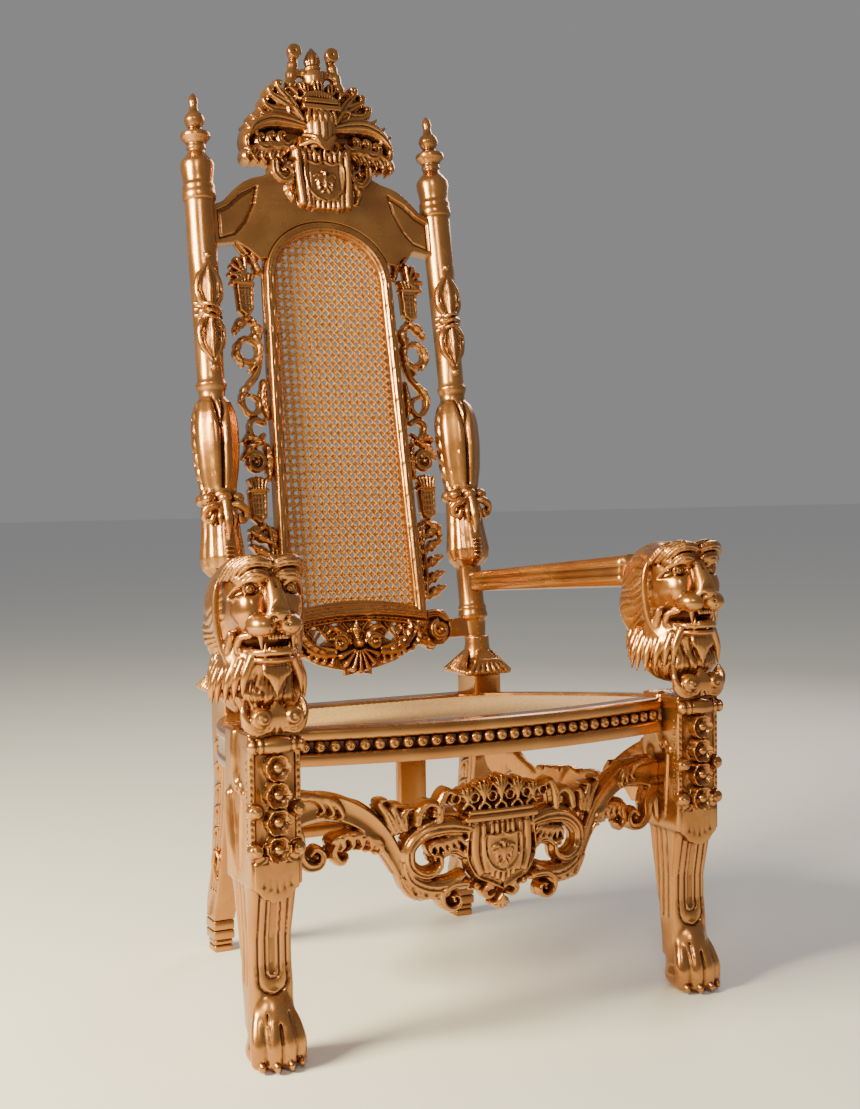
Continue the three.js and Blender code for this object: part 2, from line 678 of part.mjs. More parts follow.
function lowerRail() {
  const back = 12;
  const holes = bothSides((place) => LOWER_RAIL_HOLES.map((hole) => raised(place(hole)))).flat();
  const plain = piercedBoard(raised(symmetric(LOWER_RAIL_HALF)), back, 24, holes);
  const shell = [-34, 34].map((turn) => {
    const swing = THREE.MathUtils.degToRad(turn);
    const tip = [32 * Math.sin(swing), 586 - 42 * Math.cos(swing)];
    return band(raised([[0, 592], tip]), taper(8, 20), -8, 12, 1);
  });
  const pearl = lump(0, -14, along(602), 12, 10, 12, 6, 3);
  const sides = bothSides((place) => [
    band(raised(place([[18, 582], [60, 580], [100, 596], [126, 618]])), taper(30, 20), 0, 22, 2),
    lump(place([[36, 0]])[0][0], -12, along(603), 16, 12, 16, 5, 3),
    band(raised(place([[134, 630], [154, 652], [184, 654], [204, 636]])), taper(24, 18), 0, 24, 3),
    lump(place([[188, 0]])[0][0], -12, along(618), 18, 12, 18, 6, 3),
  ]).flat();
  const frameRoom = solidOf(board(archOutline(FRAME_FACE + GAP, FRAME_LOW_CORNER - GAP), 80, 160));
  const whole = joined([plain, ...shell, pearl, ...sides]);
  return biggestBody(cutBy(whole, frameRoom, postRoom(1), postRoom(-1)));
}

const crestSolid = crestRail();
const lowerRailSolid = lowerRail();
const fretSolid = fretPiece(crestSolid, lowerRailSolid);

// The seat: four rails round a caned panel

const seatTopAt = (y) => RAIL_TOP - SEAT_FALL * THREE.MathUtils.clamp((y - 20) / 500, 0, 1);
const bowAt = (x) => RAIL_END_FRONT - RAIL_BOW * (1 - (x / 344) ** 2);
const FRONT_RAIL_HALF = LEG_X - LEG_HALF - GAP;

function frontRailBody(grow = 0) {
  const steps = 8;
  const depth = RAIL_DEPTH + grow;
  const profile = [
    [0, RAIL_BOTTOM], [depth, RAIL_BOTTOM], [depth, RAIL_TOP - 4], [5, RAIL_TOP], [0, RAIL_TOP - 19],
    [6, RAIL_TOP - 22], [6, RAIL_BOTTOM + 23], [0, RAIL_BOTTOM + 20],
  ];
  return loft(profile.length, steps, (angle, rise, radius) => {
    const [inset, height] = radius ? profile[cornerAt(angle, profile.length)] : [depth / 2, RAIL_TOP - 31];
    const x = mix(-FRONT_RAIL_HALF, FRONT_RAIL_HALF, rise);
    return new THREE.Vector3(x, bowAt(x) + inset, height);
  });
}

function frontRail() {
  const beadCount = 29;
  const beads = Array.from({ length: beadCount }, (_, i) => {
    const x = mix(-336, 336, i / (beadCount - 1));
    const bead = sealed(new THREE.ConeGeometry(10, 20, 4, 1));
    bead.translate(x, bowAt(x) + 8, (RAIL_TOP + RAIL_BOTTOM) / 2 + 0.5);
    return bead;
  });
  return joined([frontRailBody(), ...beads]);
}

const SIDE_RAIL_BOW = 20;
const SIDE_RAIL_THICK = 46;
const sideShare = (y) => (y - LEG_BACK) / (POST_BLOCK_FRONT - LEG_BACK);
const sideOuterAt = (y) => mix(LEG_X + LEG_HALF - 6, POST_X + POST_BLOCK_HALF - 3, sideShare(y))
  + SIDE_RAIL_BOW * 4 * sideShare(y) * (1 - sideShare(y));

function sideRail(grow = 0) {
  const corners = [[1, 0], [1, 1], [0, 1], [0, 0]];
  const steps = 4;
  return solidOf(loft(4, steps, (angle, rise, radius) => {
    const [inward, up] = radius ? corners[cornerAt(angle, 4)] : [0.5, 0.5];
    const y = mix(LEG_BACK + GAP - grow, POST_BLOCK_FRONT - GAP + grow, rise);
    const x = sideOuterAt(y) - inward * (SIDE_RAIL_THICK + grow);
    return new THREE.Vector3(x, y, seatTopAt(y) - 62 * (1 - up));
  }));
}

const BACK_RAIL_HALF = POST_X - POST_BLOCK_HALF - GAP;
const BACK_RAIL_FRONT = 522;

function backRail() {
  const top = seatTopAt(540);
  return solidOf(block(-BACK_RAIL_HALF, BACK_RAIL_HALF, BACK_RAIL_FRONT, 566, top - 62, top));
}

// The cane seat fills the space inside the rails, a little below their tops.
function seatCane() {
  const corners = [[-1, 0], [-1, 10], [1, 10], [1, 0]];
  const sheet = loft(4, 1, (angle, share, radius) => {
    const [across, up] = radius ? corners[cornerAt(angle, 4)] : [0, 5];
    const y = mix(22, BACK_RAIL_FRONT - GAP, share);
    return new THREE.Vector3(across * 400, y, seatTopAt(y) - 14 + up);
  });
  const rooms = [-1, 1].flatMap((side) => [
    block(side * LEG_X - LEG_HALF - 2.3, side * LEG_X + LEG_HALF + 2.3, -60, LEG_BACK + GAP, 400, 620),
    block(side * POST_X - POST_BLOCK_HALF - GAP, side * POST_X + 200, POST_BLOCK_FRONT - GAP, 600, 400, 620),
  ]);
  const right = sideRail(GAP);
  return biggestBody(cutBy(solidOf(sheet), solidOf(frontRailBody(GAP)), right, mirroredSolid(right),
    ...rooms.map(solidOf)));
}

// Stretchers: a scrolled apron in front, plainer ones at the sides, and the cross bar with its strut

const APRON_THICK = 26;
const apronFaceAt = (x) => -24 + 60 * Math.min(1, (x / 300) ** 2);

// Bends the flat apron so that its middle swells forward.
function bowed(geometry) {
  const position = geometry.attributes.position;
  for (let i = 0; i < position.count; i += 1) {
    position.setY(i, position.getY(i) + apronFaceAt(position.getX(i)) + APRON_THICK);
  }
  return geometry;
}

// Half of the apron's outline, from its lowest tip out to the leg and back along the top to the crown
const APRON_HALF = [
  [0, 203], [24, 230], [50, 238], [68, 213], [88, 208], [102, 217], [118, 238], [134, 222], [150, 228],
  [186, 276], [214, 304], [244, 322], [268, 299], [284, 306], [274, 334], [248, 344], [190, 304], [214, 348],
  [250, 357], [280, 346], [290, 306], [304, 292], [322, 292], [338, 306], [344, 336], [366, 352], [366, 428],
  [300, 420], [244, 406], [214, 394], [202, 408], [156, 376], [144, 396], [118, 382], [112, 408], [94, 420],
  [80, 412], [40, 426], [0, 433],
];
const APRON_HOLES = [
  [[70, 332], [92, 336], [104, 318], [74, 314]], [[176, 344], [180, 322], [166, 284], [160, 302]],
  [[74, 300], [90, 296], [98, 280], [80, 274]],
];

function apronHalf(place) {
  const stem = (points, start, end, steps) => band(
    place(points), taper(start, end), -8, APRON_THICK - 4, steps);
  return [
    stem([[350, 390], [300, 394], [250, 386], [210, 358], [184, 316], [152, 246]], 40, 16, 4),
    stem([[60, 350], [110, 352], [150, 338], [164, 306], [140, 284], [112, 292]], 26, 14, 3),
    stem([[170, 280], [140, 262], [104, 256], [80, 240]], 26, 18, 2),
    lump(place([[312, 0]])[0][0], -APRON_THICK, 316, 18, 10, 18, 5, 3),
    lump(place([[87, 0]])[0][0], -APRON_THICK, 229, 16, 10, 16, 5, 3),
    stem([[64, 356], [92, 372], [108, 396]], 24, 14, 1),
  ];
}

function apronCentre() {
  const holes = bothSides((place) => APRON_HOLES.map(place)).flat();
  const plain = piercedBoard(symmetric(APRON_HALF), 0, APRON_THICK - 4, holes);
  const shieldHalf = [[0, 240], [18, 250], [46, 262], [60, 280], [60, 360]];
  const shield = board(symmetric(shieldHalf), -4, APRON_THICK + 2);
  const small = board(symmetric([[0, 270], [29, 290], [29, 334]]), -APRON_THICK, 12);
  const rails = [
    block(-66, 66, -APRON_THICK - 8, -4, 356, 367), block(-58, 58, -APRON_THICK - 4, -4, 367, 378),
  ];
  const shells = [-52, 0, 52].map((x) => band(
    [[x * 0.9, 376], [x, 402], [x * 1.05, 430 - Math.abs(x) * 0.2]], taper(14, 38), -6, APRON_THICK, 1));
  const tip = band([[0, 244], [0, 204]], taper(12, 24), -4, APRON_THICK, 1);
  return [plain, shield, small, ...rails, ...shells, tip];
}

function frontStretcher() {
  const flat = geometryOf(joined([...apronCentre(), ...bothSides(apronHalf).flat()]));
  const ends = [-1, 1].map((side) => solidOf(block(
    side * (LEG_X - LEG_HALF - GAP), side * (LEG_X + 60), -120, 160, 200, 500)));
  return biggestBody(cutBy(solidOf(bowed(flat)), ...ends));
}

const SIDE_STRETCHER_THICK = 24;
const sideLineAt = (y) => mix(LEG_X + 4, POST_X + 4, (y - LEG_BACK) / (528 - LEG_BACK));

function sideStretcher() {
  const front = LEG_BACK - 2;
  const toSide = ([y, z]) => [-y, z];
  const stem = (points, start, end, steps) => band(points.map(toSide), taper(start, end), 0,
    SIDE_STRETCHER_THICK, steps);
  const parts = [
    stem([[front, 424], [130, 404], [180, 372], [220, 330], [262, 288], [300, 266]], 62, 34, 4),
    stem([[front, 392], [108, 352], [122, 330], [144, 336]], 40, 22, 3),
    stem([[545, 404], [490, 392], [440, 366], [400, 330], [350, 288], [300, 266]], 54, 34, 4),
    stem([[500, 382], [486, 340], [466, 330], [452, 346]], 34, 20, 3),
    board([
      [230, 360], [230, 300], [300, 262], [370, 300], [370, 344], [350, 352], [330, 366], [310, 356],
      [290, 372], [270, 360], [250, 370],
    ].map(toSide), 0, SIDE_STRETCHER_THICK + 4),
    stem([[380, 330], [408, 350], [444, 352]], 34, 16, 1),
    stem([[232, 330], [206, 356], [196, 388]], 34, 16, 1),
    board([[LEG_BACK - 4, 460], [LEG_BACK + 22, 452], [LEG_BACK + 24, 436], [LEG_BACK + 40, 426],
      [LEG_BACK + 44, 400], [LEG_BACK - 4, 400]].map(toSide), 0, SIDE_STRETCHER_THICK),
  ];
  const placed = parts.map((part) => {
    part.rotateZ(-Math.PI / 2);
    const position = part.attributes.position;
    for (let i = 0; i < position.count; i += 1) {
      const y = position.getY(i);
      position.setX(i, sideLineAt(y) - position.getX(i) - SIDE_STRETCHER_THICK);
    }
    return flipped(part);
  });
  const frontRoom = solidOf(block(200, 520, -50, LEG_BACK + GAP, 100, 600));
  const whole = joined(placed).subtract(frontRoom);
  return biggestBody(whole.subtract(backPostGrown()));
}

function backPostGrown() {
  const grown = LOWER_POST.map(([z, half, front, back]) => [z, half + GAP, front - GAP, back + GAP]);
  return solidOf(tapered(grown).translate(POST_X, 0, 0));
}

const CROSS_Y = 325;
const CROSS_TOP = 308;
const crossEndAt = (y) => sideLineAt(y) - SIDE_STRETCHER_THICK - 1.2 * GAP;

function crossStretcher() {
  const [front, rear] = [CROSS_Y - 22, CROSS_Y + 22];
  const plan = [[-crossEndAt(front), front], [crossEndAt(front), front], [crossEndAt(rear), rear],
    [-crossEndAt(rear), rear]];
  const shape = new THREE.Shape(plan.map(([x, y]) => new THREE.Vector2(x, y)));
  const bar = sealed(new THREE.ExtrudeGeometry(shape, { depth: 24, bevelEnabled: false }));
  return solidOf(bar.translate(0, 0, CROSS_TOP - 24));
}

function seatStrut() {
  const top = seatTopAt(CROSS_Y + 11) - 14 - GAP;
  return solidOf(block(-28, 28, CROSS_Y - 11, CROSS_Y + 11, CROSS_TOP + GAP, top));
}

// The whole throne

[1, -1].forEach((side) => {
  const hand = side > 0 ? 'right' : 'left';
  const leg = addPiece(`front_leg_${hand}`, frontLeg, LACQUER, side);
  leg.position.x = side * LEG_X;
  addPiece(`back_post_${hand}`, backPost, LACQUER, side);
  addPiece(`arm_${hand}`, arm, LACQUER, side);
  addPiece(`seat_rail_${hand}`, sideRail(), LACQUER, side);
  addPiece(`stretcher_${hand}`, sideStretcher(), LACQUER, side);
  addBackPiece(`back_fret_${hand}`, fretSolid, LACQUER, side);
});
addBackPiece('crest_rail', crestSolid, LACQUER);
addBackPiece('back_frame', backFrame(), LACQUER);
addBackPiece('back_lower_rail', lowerRailSolid, LACQUER);
addBackPiece('back_cane', backCane(), CANE);
addPiece('seat_rail_front', frontRail(), LACQUER);
addPiece('seat_rail_back', backRail(), LACQUER);
addPiece('seat_cane', seatCane(), CANE);
addPiece('stretcher_front', frontStretcher(), LACQUER);
addPiece('stretcher_cross', crossStretcher(), LACQUER);
addPiece('seat_strut', seatStrut(), LACQUER);

// The origin goes to the floor, under the middle of the box around the whole.
throne.updateMatrixWorld(true);
const box = new THREE.Box3().setFromObject(throne, true);
throne.position.y = -(box.min.y + box.max.y) / 2;

export default throne;
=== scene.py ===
import math
import bpy
import numpy as np
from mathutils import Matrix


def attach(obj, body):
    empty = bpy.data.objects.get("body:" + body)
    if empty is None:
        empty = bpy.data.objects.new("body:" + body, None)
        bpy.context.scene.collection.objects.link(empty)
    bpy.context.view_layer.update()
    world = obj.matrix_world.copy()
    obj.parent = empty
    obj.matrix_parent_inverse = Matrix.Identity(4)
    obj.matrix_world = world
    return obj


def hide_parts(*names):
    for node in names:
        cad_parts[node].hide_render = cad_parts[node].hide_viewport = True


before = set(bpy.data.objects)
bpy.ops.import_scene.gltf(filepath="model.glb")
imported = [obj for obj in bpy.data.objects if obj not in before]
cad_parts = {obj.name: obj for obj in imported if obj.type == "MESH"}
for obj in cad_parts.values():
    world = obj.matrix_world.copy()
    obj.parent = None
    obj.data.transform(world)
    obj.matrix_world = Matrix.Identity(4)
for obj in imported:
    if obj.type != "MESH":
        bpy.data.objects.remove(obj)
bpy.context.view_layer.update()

import openvdb as vdb
from mathutils import Matrix, Vector

# Sizes are in millimetres, in a working frame that is moved in y at the end.
SHIFT_Y = -356.22
RAKE = math.radians(9.23)
LEAN = math.radians(0.46)
BACK_FOOT_LINE = 470.2
POST_X = 269.5
LEG_X = 404.5
RAIL_START = 88
LEG_BACK = 168.3
HEAD_STEP = POST_STEP = 1.7


def spline(points, count=48):
    """A smooth curve through the points, sampled evenly."""
    p = np.array(points, float)
    s = np.r_[0, np.cumsum(np.linalg.norm(np.diff(p, axis=0), axis=1))]
    slope = np.gradient(p, s, axis=0)
    t = np.linspace(0, s[-1], count)
    i = np.clip(np.searchsorted(s, t, "right") - 1, 0, len(s) - 2)
    h = (s[i + 1] - s[i])[:, None]
    u = (t - s[i])[:, None] / h
    return ((2 * u**3 - 3 * u**2 + 1) * p[i] + (u**3 - 2 * u**2 + u) * h * slope[i]
            + (3 * u**2 - 2 * u**3) * p[i + 1] + (u**3 - u**2) * h * slope[i + 1])


def spiral(x, z, radius, start, turns, inner=0.25, count=36):
    """Points of a scroll that winds inwards; angles in turns."""
    share = np.linspace(0, 1, count)
    angle = 2 * np.pi * (start + turns * share)
    r = radius * (1 - (1 - inner) * share)
    return np.stack([x + r * np.cos(angle), z + r * np.sin(angle)], 1)


def soft_min(a, b, k):
    if not k:
        return np.minimum(a, b)
    h = np.clip(0.5 + 0.5 * (a - b) / k, 0, 1)
    return a + (b - a) * h - k * h * (1 - h)


def blurred(a, passes):
    for _ in range(passes):
        for axis in range(a.ndim):
            a = (np.roll(a, 1, axis) + 2 * a + np.roll(a, -1, axis)) * 0.25
    return a


class Clay:
    """A block of distances that shapes are pressed onto and cut from."""

    def __init__(self, low, high, step):
        self.step = step
        self.low = np.array(low, np.float32) - 4 * step
        self.size = np.ceil((np.array(high) - self.low) / step).astype(int) + 4
        self.d = np.full(self.size, 40.0, np.float32)

    def window(self, low, high, soft=0.0):
        reach = soft + 4 * self.step
        a = np.maximum(np.floor((np.array(low) - reach - self.low) / self.step).astype(int), 0)
        b = np.minimum(np.ceil((np.array(high) + reach - self.low) / self.step).astype(int), self.size)
        if (b <= a).any():
            return None
        axes = [self.low[i] + self.step * np.arange(a[i], b[i], dtype=np.float32) for i in range(3)]
        grid = (axes[0][:, None, None], axes[1][None, :, None], axes[2][None, None, :])
        return tuple(slice(i, j) for i, j in zip(a, b)), grid

    def press(self, shape, low, high, soft=0.0, cut=False):
        found = self.window(low, high, soft)
        if found is None:
            return
        part, grid = found
        new = shape(*grid)
        old = self.d[part]
        self.d[part] = -soft_min(-old, new, soft) if cut else soft_min(old, new, soft)

    def carve(self, depth, low, high):
        """Lowers the surface by a depth that is a function of the place."""
        part, grid = self.window(low, high)
        self.d[part] += depth(*grid)

    def egg(self, centre, radii, soft=0.0, cut=False):
        c = np.array(centre, float)
        r = np.array(radii if np.ndim(radii) else [radii] * 3, float)

        def shape(x, y, z):
            x, y, z = x - c[0], y - c[1], z - c[2]
            k0 = np.sqrt((x / r[0])**2 + (y / r[1])**2 + (z / r[2])**2)
            k1 = np.sqrt((x / r[0]**2)**2 + (y / r[1]**2)**2 + (z / r[2]**2)**2)
            return k0 * (k0 - 1) / np.maximum(k1, 1e-5)
        self.press(shape, c - r, c + r, soft, cut)

    def box(self, low, high, rounding=0.0, soft=0.0, cut=False):
        c = (np.array(low) + np.array(high)) / 2
        h = (np.array(high) - np.array(low)) / 2 - rounding

        def shape(x, y, z):
            q = [np.abs(v - m) - n for v, m, n in zip((x, y, z), c, h)]
            out = np.sqrt(sum(np.maximum(v, 0)**2 for v in q))
            return out + np.minimum(np.maximum(np.maximum(q[0], q[1]), q[2]), 0) - rounding
        self.press(shape, low, high, soft, cut)

    def rod(self, points, radii, soft=0.0, cut=False, count=12):
        path = spline(points, count)
        r = np.interp(np.linspace(0, 1, count), np.linspace(0, 1, np.size(radii)), np.atleast_1d(radii))

        def shape(x, y, z):
            best = 1e3
            for a, b, ra, rb in zip(path[:-1], path[1:], r[:-1], r[1:]):
                e = b - a
                t = ((x - a[0]) * e[0] + (y - a[1]) * e[1] + (z - a[2]) * e[2]) / max(e @ e, 1e-6)
                t = np.clip(t, 0, 1)
                gap = np.sqrt((x - a[0] - t * e[0])**2 + (y - a[1] - t * e[1])**2
                              + (z - a[2] - t * e[2])**2)
                best = np.minimum(best, gap - ra - t * (rb - ra))
            return best
        reach = r.max()
        self.press(shape, path.min(0) - reach, path.max(0) + reach, soft, cut)

    def turned(self, profile, axis, centre, low, high, soft=0.0, flutes=None):
        """A turned shape: [distance along the axis, radius] pairs."""
        at, radius = np.array(profile, float).T

        def shape(*place):
            others = [place[i] - centre[i] for i in range(3) if i != axis]
            r = np.sqrt(others[0]**2 + others[1]**2)
            size = np.interp(place[axis], at, radius, left=-30, right=-30)
            size = size.reshape(place[axis].shape)
            if flutes:
                size = size - flutes(place[axis], np.arctan2(others[1], others[0]))
            return (r - size) * 0.8
        self.press(shape, low, high, soft)

    def mesh(self, adapt=0.0):
        field = np.clip(self.d / self.step, -3, 3)
        grid = vdb.FloatGrid(background=3.0)
        grid.copyFromArray(field)
        grid.gridClass = vdb.GridClass.LEVEL_SET
        points, tris, quads = grid.convertToPolygons(isovalue=0.0, adaptivity=adapt)
        hollow = hollow_of(field, points)
        return points * self.step + self.low, tris, quads, hollow


def hollow_of(field, points):
    """How far each point lies in a hollow, 0 to 1; the lacquer is darkened by it as painted shade."""
    wide = blurred(field, 5)
    near = np.clip(np.round(points).astype(int), 0, np.array(field.shape) - 1)
    value = -wide[near[:, 0], near[:, 1], near[:, 2]] + field[near[:, 0], near[:, 1], near[:, 2]]
    return np.clip(value * 1.3, 0, 1).astype(np.float32)


class Relief:
    """A flat carving painted as heights in front of a back plane."""

    def __init__(self, low, high, step):
        self.step = step
        self.x = np.arange(low[0], high[0] + step, step, dtype=np.float32)
        self.z = np.arange(low[1], high[1] + step, step, dtype=np.float32)
        self.top = np.zeros((len(self.x), len(self.z)), np.float32)
        self.rim = self.top.copy()
        self.edge = np.full_like(self.top, 60.0)
        self.cover = np.full_like(self.top, 60.0)

    def window(self, low, high, reach):
        i0, i1 = np.searchsorted(self.x, [low[0] - reach, high[0] + reach])
        j0, j1 = np.searchsorted(self.z, [low[1] - reach, high[1] + reach])
        return (slice(i0, i1), slice(j0, j1)), self.x[i0:i1, None], self.z[None, j0:j1]

    def paint(self, part, edge, height, rim, level=False, ground=False):
        """Adds a shape; a level one also sinks what it covers, and pierce may open ground."""
        if not ground:
            self.cover[part] = np.minimum(self.cover[part], edge)
        inside = edge < 0
        top = self.top[part]
        self.top[part] = np.where(inside, height if level else np.maximum(top, height), top)
        nearer = edge < self.edge[part]
        self.rim[part] = np.where(nearer, rim, self.rim[part])
        self.edge[part] = np.minimum(self.edge[part], edge)

    def stroke(self, points, width, height, base=14.0, kind="round", lobes=4, count=40):
        path = spline(points, count)
        size = np.interp(np.linspace(0, 1, count), np.linspace(0, 1, np.size(width)),
                         np.atleast_1d(width)) / 2
        tall = np.interp(np.linspace(0, 1, count), np.linspace(0, 1, np.size(height)), np.atleast_1d(height))
        part, x, z = self.window(path.min(0), path.max(0), size.max() + 4 * self.step)
        if 0 in (x.size, z.size):
            return
        best = np.full((x.size, z.size), 1e6, np.float32)
        share, side = np.zeros_like(best), np.zeros_like(best)
        half, rise = np.zeros_like(best), np.zeros_like(best)
        for i in range(count - 1):
            a, e = path[i], path[i + 1] - path[i]
            t = np.clip(((x - a[0]) * e[0] + (z - a[1]) * e[1]) / max(e @ e, 1e-6), 0, 1)
            dx, dz = x - a[0] - t * e[0], z - a[1] - t * e[1]
            gap = np.sqrt(dx * dx + dz * dz)
            w = size[i] + t * (size[i + 1] - size[i])
            near = gap - w < best
            best = np.where(near, gap - w, best)
            share = np.where(near, (i + t) / (count - 1), share)
            side = np.where(near, np.sign(e[0] * dz - e[1] * dx) * gap, side)
            half = np.where(near, w, half)
            rise = np.where(near, tall[i] + t * (tall[i + 1] - tall[i]), rise)
        if kind == "leaf":
            half = half * (0.66 + 0.34 * np.abs(np.sin(np.pi * (lobes * share + 0.2)))**0.6)
            best = np.abs(side) - half
            ends = (share <= 0.001) | (share >= 0.999)
            best = np.where(ends, np.maximum(best, 0.4), best)
        a = np.clip(np.abs(side) / np.maximum(half, 0.01), 0, 1)
        round_off = np.sqrt(np.maximum(1 - a**2, 0))
        if kind == "round":
            form = round_off
        elif kind == "reed":
            form = 0.35 * round_off + 0.65 * (0.5 + 0.5 * np.cos(a * np.pi * 4)) * (a < 0.96)
        elif kind == "dish":
            form = (0.55 + 0.45 * a**2) * np.minimum(1, (1 - a) * 5)
        elif kind == "flat":
            form = np.minimum(1, (1 - a) * 3)
        elif kind == "vein":
            groove = np.abs(np.sin(np.pi * 1.5 * side / np.maximum(half, 0.01)))**0.6
            form = round_off**0.7 * (0.66 + 0.34 * groove)
        elif kind == "leaf":
            bent = lobes * (share - 0.16 * a) + 0.2
            crease = np.abs(np.sin(np.pi * bent))**0.5
            veins = 0.5 + 0.5 * np.cos(2 * np.pi * bent * 3)
            rib = np.exp(-(a / 0.16)**2)
            form = round_off**0.6 * (0.45 + 0.35 * crease + 0.12 * veins) + 0.2 * rib
        height = base + rise * form
        self.paint(part, best, height, base + rise * np.where(kind == "leaf", 0.1, 0.0))

    def dot(self, x0, z0, radius, height, base=14.0):
        part, x, z = self.window((x0, z0), (x0, z0), radius + 4 * self.step)
        r = np.sqrt((x - x0)**2 + (z - z0)**2)
        height = base + height * np.sqrt(np.clip(1 - (r / radius)**2, 0, 1))
        self.paint(part, r - radius, height, base)

    def inside(self, outline):
        """Signed distance to a closed outline, negative inside."""
        p = np.array(outline, float)
        part, x, z = self.window(p.min(0), p.max(0), 6)
        best = np.full((x.size, z.size), 1e6, np.float32)
        odd = np.zeros_like(best, bool)
        for a, b in zip(p, np.roll(p, -1, axis=0)):
            e = b - a
            t = np.clip(((x - a[0]) * e[0] + (z - a[1]) * e[1]) / max(e @ e, 1e-6), 0, 1)
            best = np.minimum(best, np.hypot(x - a[0] - t * e[0], z - a[1] - t * e[1]))
            crosses = ((a[1] > z) != (b[1] > z)) & (x < a[0] + (z - a[1]) * e[0] / (e[1] if e[1] else 1e-9))
            odd ^= crosses
        return part, x, z, np.where(odd, -best, best)

    def field(self, outline, height, bevel=0.0, level=False, ground=False):
        # A half outline runs past the middle, so that its mirror image joins it
        outline = [(x or -30, z) for x, z in outline]
        part, x, z, edge = self.inside(outline)
        fall = np.clip(-edge / bevel, 0, 1) if bevel else 1.0
        low = height - bevel * 0.5
        self.paint(part, edge, (low + bevel * 0.5 * fall) + 0 * edge, low + 0 * edge, level, ground)

    def hole(self, outline):
        part, _, _, edge = self.inside(outline)
        self.edge[part] = np.maximum(self.edge[part], -edge)

    def pierce(self, margin):
        """Opens the ground wherever no carving covers it."""
        self.edge = np.maximum(self.edge, self.cover - margin)

    def clay(self, back, both=False):
        """The relief as clay; y runs from the front, -y, to the back."""
        if both:
            for name, pick in (("top", np.maximum), ("rim", np.maximum), ("edge", np.minimum)):
                value = getattr(self, name)
                setattr(self, name, pick(value, value[::-1]))
        top = np.where(self.edge < 0, self.top, self.rim)
        top = blurred(top, 1)
        tallest = float(top[self.edge < 4].max()) + 8
        clay = Clay((self.x[0], back - tallest, self.z[0]), (self.x[-1], back, self.z[-1]), self.step)
        clay.low[[0, 2]] = self.x[0], self.z[0]
        clay.size = np.array([len(self.x), clay.size[1], len(self.z)])
        gx, gz = np.gradient(top, self.step)
        slope = np.sqrt(1 + np.minimum(gx**2 + gz**2, 9))
        y = clay.low[1] + clay.step * np.arange(clay.size[1], dtype=np.float32)[None, :, None]
        rise = back - y
        d = np.maximum((rise - top[:, None, :]) / slope[:, None, :], -rise)
        clay.d = np.maximum(d, self.edge[:, None, :]).astype(np.float32)
        clay.d[:, :2] = 40
        clay.d[:, -2:] = np.maximum(clay.d[:, -2:], 1)
        clay.d[[0, -1]] = 40
        clay.d[:, :, [0, -1]] = 40
        return clay


def lean_back(points):
    """From height along the floor's vertical to the raked back."""
    x, y, z = points.T
    return np.stack([x, BACK_FOOT_LINE + y * math.cos(RAKE) + z * math.tan(RAKE), z - y * math.sin(RAKE)], 1)


def flip_to_outside(points, tris, quads):
    every = np.concatenate([tris, quads[:, :3], quads[:, [0, 2, 3]]]) if len(quads) else tris
    a, b, c = points[every[:, 0]], points[every[:, 1]], points[every[:, 2]]
    if np.einsum("ij,ij->i", a, np.cross(b, c)).sum() < 0:
        return tris[:, ::-1], quads[:, ::-1]
    return tris, quads


MOST_TRIANGLES = {"lion_leg_right": 112000, "crest": 122000, "apron": 112000, "lower_back_rail": 58000,
                  "fret_right": 46000, "post_right": 72000, "back_moulding": 28000, "seat_weave": 60000,
                  "side_stretcher_right": 22000, "back_cane_weave": 74000}


def thin_out(piece, most):
    """Simplify a piece to about so many triangles, in its own mesh."""
    sizes = np.zeros(len(piece.data.polygons), np.int32)
    piece.data.polygons.foreach_get("loop_total", sizes)
    count = int((sizes - 2).sum())
    if count > most:
        piece.modifiers.new("fewer", "DECIMATE").ratio = most / count
        ready = piece.evaluated_get(bpy.context.evaluated_depsgraph_get())
        mesh = bpy.data.meshes.new_from_object(ready)
        piece.modifiers.clear()
        piece.data = mesh


def declare(piece, nodes):
    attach(piece, "root")
    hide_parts(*nodes)


def make(name, points, tris, quads, finish, hollow=None, nodes=()):
    """A piece from points in millimetres, in the working frame."""
    points = np.asarray(points, float).copy()
    tris = np.asarray(tris, int).reshape(-1, 3)
    quads = np.asarray(quads, int).reshape(-1, 4)
    tris, quads = flip_to_outside(points, tris, quads)
    points[:, 1] += SHIFT_Y
    mesh = bpy.data.meshes.new(name)
    mesh.vertices.add(len(points))
    mesh.vertices.foreach_set("co", (points * 0.001).ravel())
    loops = np.concatenate([tris.ravel(), quads.ravel()]).astype(np.int32)
    mesh.loops.add(len(loops))
    mesh.loops.foreach_set("vertex_index", loops)
    sizes = np.r_[np.full(len(tris), 3), np.full(len(quads), 4)]
    mesh.polygons.add(len(sizes))
    mesh.polygons.foreach_set("loop_start", np.r_[0, np.cumsum(sizes)[:-1]].astype(np.int32))
    mesh.polygons.foreach_set("use_smooth", np.ones(len(sizes), bool))
    mesh.update(calc_edges=True)
    mesh.validate()
    # The hollow attribute sets how much painted shade the lacquer gets at each point
    if hollow is not None:
        mesh.attributes.new("hollow", "FLOAT", "POINT").data.foreach_set("value", hollow)
    mesh.materials.append(finish)
    piece = bpy.data.objects.new(name, mesh)
    bpy.context.collection.objects.link(piece)
    thin_out(piece, MOST_TRIANGLES.get(name, 200000))
    declare(piece, nodes)
    return piece


def pair(name, points, tris, quads, hollow, node):
    """The right piece and its mirror image."""
    right = make(f"{name}_right", points, tris, quads, LACQUER, hollow, nodes=[f"{node}_right"])
    mesh = right.data.copy()
    mesh.transform(Matrix.Scale(-1, 4, (1, 0, 0)))
    mesh.flip_normals()
    left = bpy.data.objects.new(f"{name}_left", mesh)
    bpy.context.collection.objects.link(left)
    declare(left, [f"{node}_left"])


# Materials

def node(tree, kind, **values):
    made = tree.nodes.new(kind)
    for key, value in values.items():
        setattr(made, key, value)
    return made


